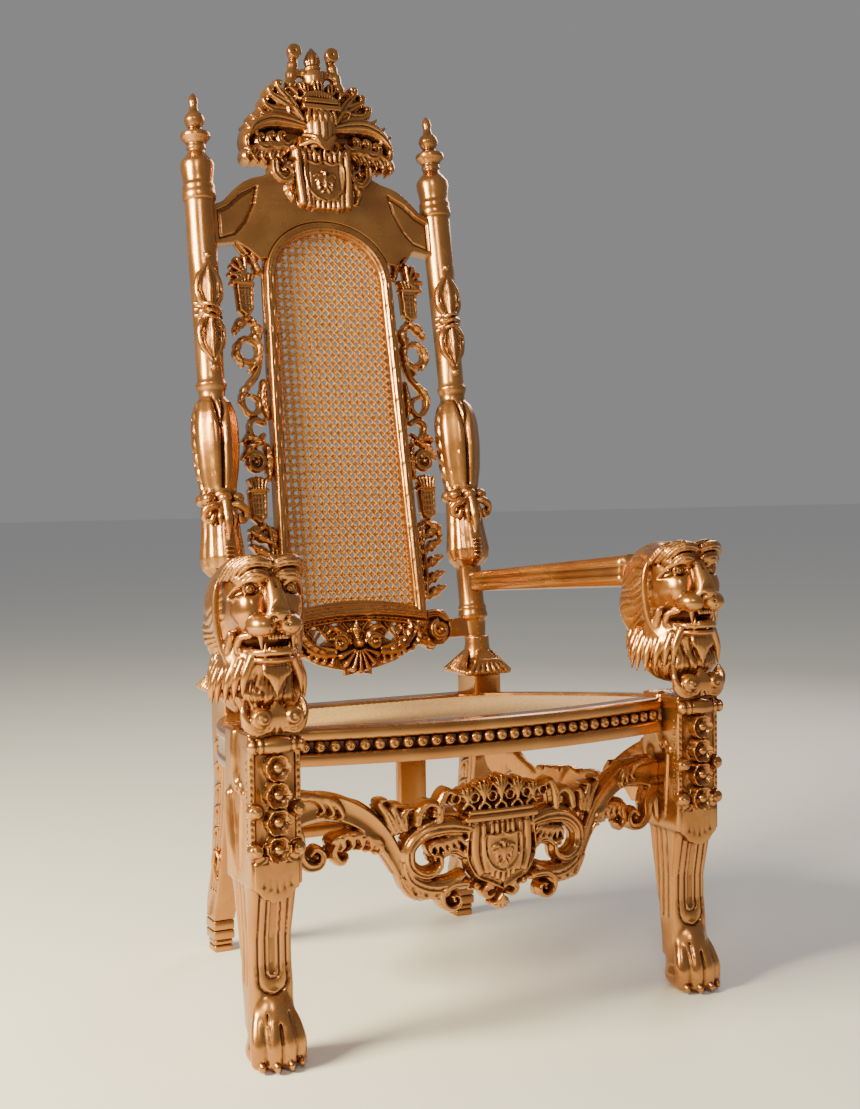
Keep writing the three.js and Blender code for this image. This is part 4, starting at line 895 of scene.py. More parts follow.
def fret_relief():
    r = Relief((112, 677), (226, 1452), 1.4)
    outer = [(190, 1446), (209, 1436), (198, 1402), (214, 1384), (203, 1364), (213, 1344), (203, 1320),
             (202, 1258), (215, 1232), (206, 1212), (212, 1186), (192, 1128), (212, 1086), (190, 1044),
             (212, 1008), (203, 994), (216, 972), (194, 932), (206, 912), (204, 848), (212, 836), (200, 818),
             (212, 804), (199, 788), (212, 770), (198, 752), (211, 736), (197, 720), (208, 704), (196, 684)]
    r.field(outer + [(140, 684), (128, 1346), (118, 1400), (150, 1440)], 11, ground=True)
    r.field([(120, 680), (152, 680), (140, 1346), (130, 1400), (118, 1400)], 14)
    for x, z, wide, high, slant in ((158, 1392, 6, 17, -0.7), (182, 1418, 5, 16, -0.8),
                                    (172, 1340, 6, 11, 0.5), (186, 1196, 8, 21, 0.3),
                                    (168, 1150, 5, 16, -0.3), (188, 1086, 8, 12, 0), (188, 984, 8, 17, 0.3),
                                    (168, 936, 5, 14, 0.2), (174, 790, 5, 19, 0.2), (166, 1262, 3, 12, 0),
                                    (168, 852, 3, 10, 0), (190, 744, 4, 12, 0)):
        r.hole(ring(x, z, wide, high, 18, slant, False))
    r.stroke([(150, 1400), (168, 1428), (190, 1440), (200, 1430), (192, 1410), (176, 1388)], 9, 8, 12)
    for i in range(7):
        r.dot(196 - 4.6 * i, 1424 - 9.5 * i + 0.35 * i * i, 3.4, 8, 14)
    for i in range(5):
        a = math.radians(-30 + 30 * i)
        r.stroke([(180, 1342), (180 + 30 * math.sin(a + 0.5), 1342 + 34 * math.cos(a + 0.5))], [6, 13], 11,
                 12, count=10)
    acanthus(r, [(150, 1350), (160, 1378), (158, 1410)], [12, 18, 6], 10, 12, 3)
    for i in range(-2, 3):
        r.stroke([(182 + 6 * i, 1328), (182 + 9 * i, 1344 - abs(i))], [6, 9], 9, 13, count=8)
    r.stroke([(164, 1326), (202, 1326)], 6, 9, 13, count=8)
    for x, z in ((182, 1288), (186, 874)):
        r.field([(x - 15, z - 17), (x, z - 28), (x + 15, z - 17), (x + 18, z + 36), (x - 18, z + 36)], 18, 2)
        r.field([(x - 10, z - 13), (x, z - 20), (x + 10, z - 13), (x + 12, z + 30), (x - 12, z + 30)], 16, 0,
                True)
        for i in range(-1, 2):
            r.stroke([(x + 7 * i, z - 15), (x + 7 * i, z + 29)], 2.4, 2.5, 16, count=6)
        for i in range(4):
            r.stroke([(x - 11, z + 24 - 11 * i), (x + 11, z + 24 - 11 * i)], 2.4, 2.5, 16, count=6)
    for z0 in (1252, 838):
        acanthus(r, [(176, z0 + 4), (200, z0 - 10), (210, z0 - 28)], [10, 20, 6], 11, 12, 3)
        acanthus(r, [(172, z0 + 2), (160, z0 - 22), (164, z0 - 46)], [10, 20, 6], 11, 12, 3)
    r.stroke(spiral(184, 1190, 24, 0.25, 1.0, 0.9), 9, 9, 12, kind="dish")
    acanthus(r, [(190, 1214), (206, 1200), (210, 1180), (198, 1160)], [10, 16, 14, 5], 11, 12, 4)
    acanthus(r, [(170, 1222), (160, 1196), (166, 1170), (182, 1150)], [10, 16, 12, 5], 11, 12, 4)
    r.stroke([(160, 1170), (172, 1140), (188, 1122), (204, 1098), (200, 1074), (184, 1062), (170, 1072),
              (172, 1094), (186, 1100)], [8, 10, 10, 11, 10, 9, 8, 7, 6], 10, 12, kind="dish")
    acanthus(r, [(180, 1128), (196, 1114), (210, 1088)], [8, 16, 6], 12, 12, 3)
    acanthus(r, [(156, 1128), (160, 1090), (154, 1056)], [10, 16, 8], 10, 12, 4)
    r.stroke([(162, 1046), (180, 1052), (192, 1044), (190, 1024), (176, 1012), (164, 1022)],
             [8, 10, 10, 9, 8, 6], 10, 12, kind="dish")
    acanthus(r, [(176, 1012), (196, 1016), (212, 1006)], [10, 18, 6], 12, 12, 3)
    acanthus(r, [(168, 1010), (196, 996), (214, 974)], [10, 18, 6], 12, 12, 4)
    r.stroke(spiral(186, 968, 21, 0.1, 1.25, 0.5), [10, 9, 7], 10, 12, kind="dish")
    r.dot(186, 968, 6, 10, 12)
    acanthus(r, [(160, 1000), (156, 966), (160, 934)], [10, 18, 8], 10, 12, 4)
    for i in range(-2, 3):
        r.stroke([(185 + 6 * i, 914), (185 + 8.5 * i, 934 - abs(i))], [6, 9], 10, 13, count=8)
    r.stroke([(166, 912), (204, 912)], 6, 9, 13, count=8)
    for z in (824, 796, 764, 732, 702):
        acanthus(r, [(166, z - 16), (186, z - 4), (211, z + 8)], [12, 20, 6], 11, 12, 3)
        acanthus(r, [(162, z - 20), (156, z - 2), (160, z + 12)], [10, 14, 5], 9, 12, 3)
    r.stroke([(164, 690), (168, 740), (166, 800), (170, 838)], [10, 9, 8, 6], 11, 12)
    r.pierce(2.2)
    r.hole(arch(24.4, 640.6))
    return r


def frame_relief():
    r = Relief((-160, 634.4), (160, 1476), 1.6)
    part, _, _, edge = r.inside(arch(24, 641))
    inset = -edge
    reeds = 4.6 * np.abs(np.sin(np.pi * (inset - 1) / 5.6))**0.6
    shape = 31.5 + reeds - 3.2 * np.clip((3 - inset) / 3, 0, 1)
    bead = np.where(inset > 18, 26 + 5 * np.sqrt(np.clip(1 - ((inset - 20.6) / 2.6)**2, 0, 1)), shape)
    r.paint(part, edge, bead, 26)
    r.hole(arch(0, 672))
    return r


def lower_relief():
    r = Relief((-266, 532), (266, 700), 1.4)
    half = [(0, 540), (46, 554), (84, 564), (114, 580), (130, 592), (148, 592), (158, 583), (172, 580),
            (180, 590), (196, 590), (212, 604), (262, 604), (262, 641), (216, 643), (206, 656), (176, 663),
            (156, 660), (156, 676), (0, 690)]
    r.field(half, 12)
    r.field([(206, 603), (262, 603), (262, 642), (206, 642)], 24, 2)
    for hole in ([(5, 618), (26, 632), (24, 652), (6, 652)], [(30, 655), (36, 636), (56, 640), (62, 655)],
                 [(60, 614), (80, 604), (92, 616), (84, 632), (64, 628)],
                 [(104, 646), (122, 626), (134, 630), (130, 646)],
                 [(50, 632), (60, 640), (66, 632), (58, 625)], [(72, 650), (82, 634), (98, 636), (98, 648)]):
        r.hole(hole)
    for z in (664, 657, 650):
        r.stroke([(0, z), (50, z - 3), (100, z - 9), (150, z - 20)], 6.5, 8, 16)
    for x in (14, 44, 74, 104):
        r.stroke([(x - 14, 612), (x + 14, 646)], 5, 5, 12, count=8)
        r.stroke([(x + 14, 612), (x - 14, 646)], 5, 5, 12, count=8)
    acanthus(r, [(0, 610), (0, 628), (0, 648)], [12, 22, 6], 12, 16, 3)
    acanthus(r, [(14, 600), (30, 622), (52, 634), (66, 624)], [10, 18, 16, 6], 14, 14, 4)
    volute(r, 38, 604, 20, 0.1, 2.0, 20, 14)
    r.stroke([(54, 588), (86, 592), (112, 606), (126, 626), (118, 640)], [16, 22, 20, 16, 8], 18, 14,
             kind="dish")
    acanthus(r, [(72, 586), (98, 600), (116, 622), (120, 640)], [14, 24, 22, 6], 18, 14, 5)
    acanthus(r, [(120, 590), (138, 606), (132, 632)], [12, 22, 8], 16, 14, 4)
    for i in range(-3, 4):
        a = i * 0.34
        r.stroke([(12 * math.sin(a), 594 - 6 * math.cos(a)),
                  (46 * math.sin(a), 594 - 46 * math.cos(a) + 3 * abs(i))], [5, 15], 14, 18, count=14)
    r.dot(0, 602, 11, 24, 18)
    for i in range(5):
        x = 50 + 16 * i
        r.stroke([(x, 592 - 2 * i), (x + 8, 566 + 5 * i)], [8, 12], 12, 12, count=8)
    r.stroke([(44, 580), (84, 580), (112, 592)], 5, 6, 20)
    r.stroke([(134, 628), (152, 648), (180, 653), (202, 640)], [14, 18, 18, 12], 20, 14, kind="reed")
    volute(r, 186, 620, 25, 0.3, 2.0, 20, 14)
    acanthus(r, [(130, 600), (150, 600), (172, 588)], [10, 24, 10], 14, 14, 4)
    acanthus(r, [(206, 640), (196, 652), (174, 660)], [10, 16, 6], 14, 14, 3)
    r.hole(arch(24.4, 640.6))
    return r


def back_group():
    carved("crest", crest_relief(), 14, ["crest_rail"], extra=crest_round_parts)
    carved("back_moulding", frame_relief(), 16, ["back_frame"], both=False, adapt=0.03)
    carved("lower_back_rail", lower_relief(), 12, ["back_lower_rail"])
    clay = fret_relief().clay(10)
    points, tris, quads, hollow = clay.mesh()
    pair("fret", lean_back(points), tris, quads, hollow, "back_fret")


def ribbon(points, width, thick, side):
    """A flat strand through the points; side is the direction of its width."""
    p = np.array(points, float)
    side = np.array(side, float) * width / 2
    out = np.array([0, thick / 2, 0])
    rings = np.stack([p - side, p - out, p + side, p + out], 1)
    return rings.reshape(-1, 3), tube_faces(len(p), 4)


def tube_faces(rings, around):
    i = np.arange(rings - 1)[:, None] * around
    j = np.arange(around)[None, :]
    k = (j + 1) % around
    return np.stack([i + j, i + k, i + around + k, i + around + j], -1).reshape(-1, 4)


def gather(parts):
    points, quads, start = [], [], 0
    for p, q in parts:
        points.append(p)
        quads.append(q + start)
        start += len(p)
    return np.concatenate(points), np.concatenate(quads)


def strand_span(outline, a, b):
    """The part of the line from a to b that lies inside the outline."""
    share = np.linspace(0, 1, 400)
    x, z = a[0] + share * (b[0] - a[0]), a[1] + share * (b[1] - a[1])
    odd = np.zeros(400, bool)
    p = np.array(outline)
    for (x0, z0), (x1, z1) in zip(p, np.roll(p, -1, axis=0)):
        odd ^= ((z0 > z) != (z1 > z)) & (x < x0 + (z - z0) * (x1 - x0) / ((z1 - z0) or 1e-9))
    found = share[odd]
    return (found[0], found[-1]) if len(found) > 4 else None


def back_cane():
    pitch = 15.9
    outline = arch(2, 670)
    parts = []

    def strand(a, b, offset, wave, width):
        a, b = np.array(a, float), np.array(b, float)
        span = strand_span(outline, a, b)
        if span is None:
            return
        a, b = a + (b - a) * span[0], a + (b - a) * span[1]
        length = np.hypot(*(b - a))
        count = max(2, int(length / pitch * 2)) if wave else 2
        share = np.linspace(0, 1, count)
        place = a + (b - a) * share[:, None]
        y = 1.5 + offset + wave * np.where(np.arange(count) % 2, 0.5, -0.5)
        ahead = (b - a) / length
        points = np.stack([place[:, 0], y, place[:, 1]], 1)
        parts.append(ribbon(points, width, 0.9, (-ahead[1], 0, ahead[0])))
    for i in range(-9, 10):
        for s in (-2.3, 2.3):
            strand((i * pitch + s, 660), (i * pitch + s, 1450), 0.4, 0.9, 3.2)
    for i in range(0, 51):
        for s in (-2.3, 2.3):
            strand((-140, 660 + i * pitch + s), (140, 660 + i * pitch + s), -0.2, 0.9, 3.2)
    for i in range(-10, 61):
        z = 660 + (i + 0.5) * pitch
        strand((-140, z - 140), (140, z + 140), -1.4, 0, 3.6)
        strand((-140, z + 140), (140, z - 140), -1.9, 0, 3.6)
    points, quads = gather(parts)
    make("back_cane_weave", lean_back(points), [], quads, CANE, nodes=["back_cane"])


back_group()
back_cane()


# Back posts: ringed shaft, console, bell collar and the swept leg

def to_post(points):
    x, y, h = points.T
    z = h / math.cos(RAKE)
    px = x * math.cos(LEAN) - z * math.sin(LEAN) + 5.5 + POST_X
    pz = x * math.sin(LEAN) + z * math.cos(LEAN)
    return np.stack([px, BACK_FOOT_LINE + y * math.cos(RAKE) + pz * math.sin(RAKE),
                     pz * math.cos(RAKE) - y * math.sin(RAKE)], 1)


def upper_post():
    clay = Clay((-54, -58, 572), (54, 34, 1710), POST_STEP)
    shaft = [(572, 22), (600, 22), (622, 24), (634, 25), (640, 30), (646, 31), (652, 30), (656, 28.5),
             (662, 30), (668, 27), (672, 26), (745, 26), (1104, 26), (1110, 28), (1114, 30), (1120, 31),
             (1126, 28), (1134, 27), (1190, 27.5), (1240, 28), (1300, 29), (1400, 30), (1486, 30), (1490, 33),
             (1500, 34), (1508, 32), (1516, 33), (1522, 30), (1528, 30), (1540, 32), (1552, 34), (1564, 34),
             (1574, 27), (1584, 18), (1590, 17), (1594, 20), (1602, 18), (1610, 24), (1616, 30), (1624, 30),
             (1628, 22), (1635, 13), (1644, 18), (1652, 21), (1662, 18), (1670, 10), (1680, 8), (1690, 10),
             (1700, 8), (1709, 1)]
    clay.turned(shaft, 2, (0, 0, 0), (-36, -36, 572), (36, 36, 1710), 0)
    levels = np.array([747, 760, 781, 828, 872, 904, 920, 950, 1000, 1040, 1062, 1082, 1096], float)
    half = np.array([28, 42, 46, 40, 37, 36, 38, 44, 48, 47.5, 44, 36, 24])
    front = np.array([30, 46, 52, 44, 38, 36, 40, 46, 52, 51, 47, 40, 26])

    def vase(x, y, z):
        a, b = np.interp(z, levels, half).astype(np.float32), np.interp(z, levels, front).astype(np.float32)
        b = np.where(y > 0, 27.0, b)
        turn = np.arctan2(y, x) + np.pi / 2
        split = np.abs(np.abs(turn) - np.clip((z - 1030) / 62, 0, 1) * 0.34)
        lobes = 9 * np.exp(-(split / 0.11)**2) + 2.6 * np.exp(-((np.abs(turn) - 0.62) / 0.2)**2)
        lobes += 3.5 * np.exp(-((np.abs(turn) - 1.25) / 0.12)**2)
        insert = 5 * np.clip((z - 1030) / 62, 0, 1) * (np.abs(turn) < 0.34 * np.clip((z - 1030) / 62, 0, 1))
        flank = 2.6 * (np.abs(turn) > 1.3) * (1 - np.abs(np.sin(z * 0.11 - 3.2 * np.abs(turn))))
        low = (2.8 * np.exp(-((np.abs(turn) - 0.5) / 0.16)**2)
               + 2.6 * np.exp(-((np.abs(turn) - 1.1) / 0.14)**2))
        crease = np.where(z > 912, lobes + insert + flank, low)
        edge = (np.sqrt((x / a)**2 + (y / b)**2) - 1) * np.minimum(a, b) + crease * (y < 8)
        return np.maximum(edge, np.maximum(z - 1096, 747 - z)) * 0.8
    clay.press(vase, (-54, -58, 747), (54, 30, 1096), 1.5)
    for x in (-29, 0, 29):
        clay.egg((x, -34 + 0.012 * x * x, 893), (14.5, 16, 13), 0.8)
    for s in (-1, 1):
        clay.egg((s * 38, -4, 893), (10, 16, 12), 1)
        clay.rod([(s * 10, -40, 880), (s * 26, -44, 878), (s * 40, -36, 868), (s * 40, -32, 854),
                  (s * 30, -38, 848), (s * 26, -42, 858)], (5, 8, 9, 8, 6, 5), 1.5, count=26)
        clay.egg((s * 33, -40, 862), (4, 7, 4), 1, cut=True)
        clay.rod([(s * 6, -42, 880), (s * 15, -47, 852), (s * 13, -45, 834)], (4, 6, 1.5), 1)
    clay.rod([(0, -44, 882), (0, -50, 848), (0, -48, 812)], (7, 9, 1.5), 1)
    clay.rod([(0, -52, 884), (0, -60, 848), (0, -54, 816)], (1.5, 2, 1), 1, cut=True)
    for i in range(5):
        clay.box((-8, -56, 764 + 8 * i), (8, -40, 767.5 + 8 * i), 1.2, 0.6)
    clay.egg((0, -20, 1260), (25, 16, 13), 2)
    for s in (-1, 1):
        for up in (-1, 1):
            line = [(s * 4, -24, 1260 + up * 4), (s * 20, -22, 1260 + up * 28), (s * 21, -21, 1260 + up * 60),
                    (s * 3, -29, 1260 + up * 96)]
            clay.rod(line, (6, 8, 7, 1.5), 1, count=18)
            line = [(s * 10, -28, 1260 + up * 14), (s * 22, -27, 1260 + up * 40),
                    (s * 12, -30, 1260 + up * 78)]
            clay.rod(line, (1, 1.8, 1), 1, cut=True)
    for up in (-1, 1):
        clay.rod([(0, -28, 1260 + up * 8), (0, -31, 1260 + up * 44), (0, -29, 1260 + up * 90)], (4, 6, 1.5),
                 0.6)
    for z in (1272, 1260, 1248):
        clay.rod([(-26, -10, z - 7), (0, -37, z), (26, -10, z + 7)], 4, 0.5, count=12)
    clay.egg((0, -28, 1150), (6, 5, 6), 1)
    clay.egg((0, -30, 1372), (5, 4, 5), 1)
    return clay


def lower_post():
    clay = Clay((-58, 466, 0), (58, 678, 610), 1.9)
    levels = np.array([0, 24, 26, 62, 66, 100, 177, 250, 343, 440, 590], float)
    half = np.array([19, 19, 21.5, 21.5, 21, 22, 23, 24, 26, 30, 30])
    front = np.array([627, 627, 622, 622, 620, 604, 574, 550, 527, 512, 512])
    back = np.array([666, 666, 673, 673, 671, 664, 630, 616, 597, 590, 590])

    def body(x, y, z):
        h, f, b = (np.interp(z, levels, v).astype(np.float32) for v in (half, front, back))
        q = [np.abs(x) - h + 3, np.abs(y - (f + b) / 2) - (b - f) / 2 + 3]
        out = np.hypot(np.maximum(q[0], 0), np.maximum(q[1], 0)) + np.minimum(np.maximum(q[0], q[1]), 0) - 3
        return np.maximum(out * 0.9, np.maximum(z - 560, -z))
    clay.press(body, (-32, 508, 0), (32, 676, 560))
    middle = BACK_FOOT_LINE + 556 * math.tan(RAKE) - 3

    def bell(x, y, z):
        size = np.interp(z, [528, 531, 539, 546, 556, 570, 590, 606], [50, 54, 53, 44, 35, 28, 25, 24])
        size = size.astype(np.float32)
        blend = np.clip((z - 536) / 24, 0, 1)
        square = np.maximum(np.abs(x), np.abs(y - middle))
        r = np.hypot(x, y - middle)
        leaf = 2.4 * np.abs(np.sin(4 * np.arctan2(y - middle, x) + np.pi / 2)) * np.clip((566 - z) / 20, 0, 1)
        return np.maximum((square * (1 - blend) + r * blend - size + leaf) * 0.7,
                          np.maximum(z - 606, 528 - z))
    clay.press(bell, (-56, middle - 56, 528), (56, middle + 56, 606), 1)
    for s in (-1, 1):
        for i in range(-3, 4):
            clay.rod([(s * 26, middle + 4 * i, 574), (s * 42, middle + 9 * i, 552),
                      (s * 52, middle + 14 * i, 536)], (2, 3.4, 4.5), 1)
            clay.rod([(4 * i, middle - 26, 574), (9 * i, middle - 42, 552), (14 * i, middle - 51, 536)],
                     (2, 3.4, 4.5), 1)
        # Scroll and leaf on the side faces of the swept leg
        for at, size in ((2, 4), (15, 3), (28, 3)):
            line = [(s * np.interp(z, levels, half), np.interp(z, levels, front) + 14 + at, z)
                    for z in (470, 400, 330, 260, 190, 130)]
            clay.rod(line, size, 1.2, cut=True, count=20)
        clay.rod([(s * 23, 596, 150), (s * 25, 606, 190), (s * 27, 588, 214), (s * 25, 572, 196),
                  (s * 25, 582, 180)], (5, 6, 5, 4, 3), 1, count=20)
        for i in range(5):
            z = 250 + 44 * i
            f = np.interp(z, levels, front)
            clay.rod([(s * (np.interp(z, levels, half) - 1), f + 62 - 0.08 * i, z - 20),
                      (s * np.interp(z, levels, half), f + 44, z + 4),
                      (s * np.interp(z, levels, half), f + 24, z + 12)], (2, 6, 2), 1)
        for i in range(3):
            clay.rod([(s * 22.5, 612 + 14 * i, 128 - 20 * i), (s * 22.5, 632 + 8 * i, 100 - 12 * i)], (3, 5),
                     1)
    for z in (14, 24, 44, 64):
        clay.box((-24, 618, z - 1), (24, 676, z + 1), 0, 1, cut=True)
    return clay


def back_posts():
    points, tris, quads, hollow = upper_post().mesh(0.02)
    lower, lower_tris, lower_quads, lower_hollow = lower_post().mesh(0.02)
    shift = len(points)
    points = np.concatenate([to_post(points), lower + [POST_X, 0, 0]])
    pair("post", points, np.concatenate([tris, lower_tris + shift]),
         np.concatenate([quads, lower_quads + shift]), np.concatenate([hollow, lower_hollow]), "back_post")


back_posts()


# Arms and seat

def swept(rings):
    """A closed body through equal rings of points."""
    rings = np.array(rings, float)
    count, around = rings.shape[:2]
    points = np.concatenate([rings.reshape(-1, 3), rings[0].mean(0)[None], rings[-1].mean(0)[None]])
    j = np.arange(around)
    k = (j + 1) % around
    first = np.stack([k, j, np.full(around, count * around)], 1)
    last = np.stack([j + (count - 1) * around, k + (count - 1) * around, np.full(around, count * around + 1)],
                    1)
    return points, np.concatenate([first, last]), tube_faces(count, around)


def arms():
    joint = BACK_FOOT_LINE + 718 * math.tan(RAKE) - 28.3
    rings, shade = [], []
    angles = np.linspace(0, 2 * np.pi, 64, endpoint=False)
    for t in np.linspace(0, 1, 40):
        y = LEG_BACK + (joint - LEG_BACK) * t
        s = (y - 168) / 395
        centre = 400 - 123 * s
        low, high = 722 - 25 * s, 784 - 46 * s
        half = 27 * (1.15 - 0.2 * s)
        a = np.sign(np.cos(angles)) * np.abs(np.cos(angles))**0.5
        b = np.sign(np.sin(angles)) * np.abs(np.sin(angles))**0.62
        end = np.clip((1 - t) / 0.05, 0, 1)
        groove = sum(np.exp(-((b - at) / 0.09)**2) for at in (0.28, -0.28)) * (np.abs(a) > 0.8) * end
        x = centre + half * a - np.sign(a) * 3.2 * groove
        z = (low + high) / 2 + (high - low) / 2 * b
        rings.append(np.stack([x, np.full(64, y), z], 1))
        shade.append(0.85 * groove)
    points, tris, quads = swept(rings)
    hollow = np.r_[np.concatenate(shade), 0, 0].astype(np.float32)
    pair("arm_bar", points, tris, quads, hollow, "arm")


def bow(x):
    return 18 - 50 * (1 - (x / 344)**2)


def seat_top(y):
    return 531 - 40 * np.clip((y - 20) / 500, 0, 1)


def rail_outer(y):
    """Half width over the side rails, which curve in towards the back."""
    share = (y - RAIL_START) / 424
    return 442.5 - 146 * share + 80 * share * (1 - share)


def ball_mesh(centre, radius, drill=0.0, around=14, rows=9):
    """A ball that faces the front, with a drilled middle."""
    parts = []
    for i in range(rows):
        turn = math.pi * (i + 0.35) / (rows + 0.1)
        y, r = -radius * math.cos(turn), radius * math.sin(turn)
        if i == 0 and drill:
            y, r = -radius + drill * 1.7, drill * 0.6
        if i == 1 and drill:
            y, r = -radius * 0.95, drill
        a = np.linspace(0, 2 * np.pi, around, endpoint=False)
        parts.append(np.stack([centre[0] + r * np.cos(a), np.full(around, centre[1] + y),
                               centre[2] + r * np.sin(a)], 1))
    return swept(parts)


def join_meshes(parts):
    points, tris, quads, start = [], [], [], 0
    for p, t, q in parts:
        points.append(p)
        tris.append(t + start)
        quads.append(q + start)
        start += len(p)
    return np.concatenate(points), np.concatenate(tris), np.concatenate(quads)


def rounded_profile(points, rounding=1.6):
    """Breaks each corner of a profile into a small arc."""
    p = np.array(points, float)
    out = []
    for a, b, c in zip(np.roll(p, 1, 0), p, np.roll(p, -1, 0)):
        u, v = a - b, c - b
        cut = min(rounding, 0.4 * np.hypot(*u), 0.4 * np.hypot(*v))
        u, v = u / np.hypot(*u) * cut, v / np.hypot(*v) * cut
        out += [b + u, b + 0.3 * (u + v), b + v]
    return np.array(out)


def seat_rails():
    profile = rounded_profile([(0, 469), (58, 469), (58, 527), (10, 530.5), (2, 528), (0, 524), (0, 515),
                               (3, 511), (8, 509), (10, 507), (10, 493), (8, 491), (3, 489), (0, 486)])
    body = swept([np.stack([np.full(len(profile), x), bow(x) + profile[:, 0], profile[:, 1]], 1)
                  for x in np.linspace(-360.2, 360.2, 70)])
    balls = [ball_mesh((x, bow(x) + 7.5, 500), 9.8, 3.2) for x in np.linspace(-336, 336, 29)]
    points, tris, quads = join_meshes([body] + balls)
    # Painted shade in the groove behind the balls: these points are darkened through the hollow attribute
    channel_shade = np.clip((points[:, 1] - bow(points[:, 0]) - 4) / 5, 0, 1) * (np.abs(points[:, 2] - 500) < 11)
    make("front_seat_rail", points, tris, quads, LACQUER, channel_shade.astype(np.float32),
         nodes=["seat_rail_front"])

    profile = rounded_profile([(46, -62), (46, 0), (6, 0), (0, -4), (0, -14), (4, -18), (4, -46), (0, -50),
                               (0, -62)])
    rings = []
    for y in np.linspace(88.3, 511.7, 36):
        rings.append(np.stack([rail_outer(y) - profile[:, 0], np.full(len(profile), y),
                               seat_top(y) + profile[:, 1]], 1))
    points, tris, quads = swept(rings)
    pair("side_seat_rail", points, tris, quads, None, "seat_rail")
    top = float(seat_top(540))
    profile = rounded_profile([(522, top - 62), (566, top - 62), (566, top), (526, top), (522, top - 4)], 3)
    rings = [np.stack([np.full(len(profile), x), profile[:, 0], profile[:, 1]], 1)
             for x in np.linspace(-239.2, 239.2, 12)]
    make("rear_seat_rail", *swept(rings), LACQUER, nodes=["seat_rail_back"])


def seat_cane():
    step = 3.1
    xs, ys = np.arange(-398, 398.1, step), np.arange(-24, 521.6, step)
    gx, gy = np.meshgrid(xs, ys, indexing="ij")
    outer = np.where(gy < RAIL_START, LEG_X - 47, rail_outer(gy) - 46)
    inside = (np.abs(gx) < outer) & (gy > bow(gx) + 57) & (gy < 521.6)
    inside &= ~((np.abs(gx) > POST_X - 31) & (gy > 511))
    weave = 0.9 * np.sin(gx * np.pi / 6.2) * np.sin(gy * np.pi / 6.2)
    top = seat_top(gy) - 4.6 + weave - 0.9 * (1 - (gx / 400)**2)
    low = seat_top(gy) - 13
    n = len(xs) * len(ys)
    index = np.arange(n).reshape(len(xs), len(ys))
    cell = inside[:-1, :-1] & inside[1:, :-1] & inside[:-1, 1:] & inside[1:, 1:]
    i, j = np.nonzero(cell)
    upper = np.stack([index[i, j], index[i + 1, j], index[i + 1, j + 1], index[i, j + 1]], 1)
    sides = []
    padded = np.pad(cell, 1)
    for di, dj, a, b in ((-1, 0, (0, 1), (0, 0)), (1, 0, (1, 0), (1, 1)), (0, -1, (0, 0), (1, 0)),
                         (0, 1, (1, 1), (0, 1))):
        rim = cell & ~padded[1 + di:padded.shape[0] - 1 + di, 1 + dj:padded.shape[1] - 1 + dj]
        i, j = np.nonzero(rim)
        p, q = index[i + a[0], j + a[1]], index[i + b[0], j + b[1]]
        sides.append(np.stack([q, p, p + n, q + n], 1))
    quads = np.concatenate([upper, upper[:, ::-1] + n] + sides)
    points = np.concatenate([np.stack([gx, gy, z], -1).reshape(-1, 3) for z in (top, low)])
    used, quads = np.unique(quads, return_inverse=True)
    make("seat_weave", points[used], [], quads.reshape(-1, 4), SEAT_CANE, nodes=["seat_cane"])


arms()
seat_rails()
seat_cane()


# Apron, side stretchers, cross bar and strut

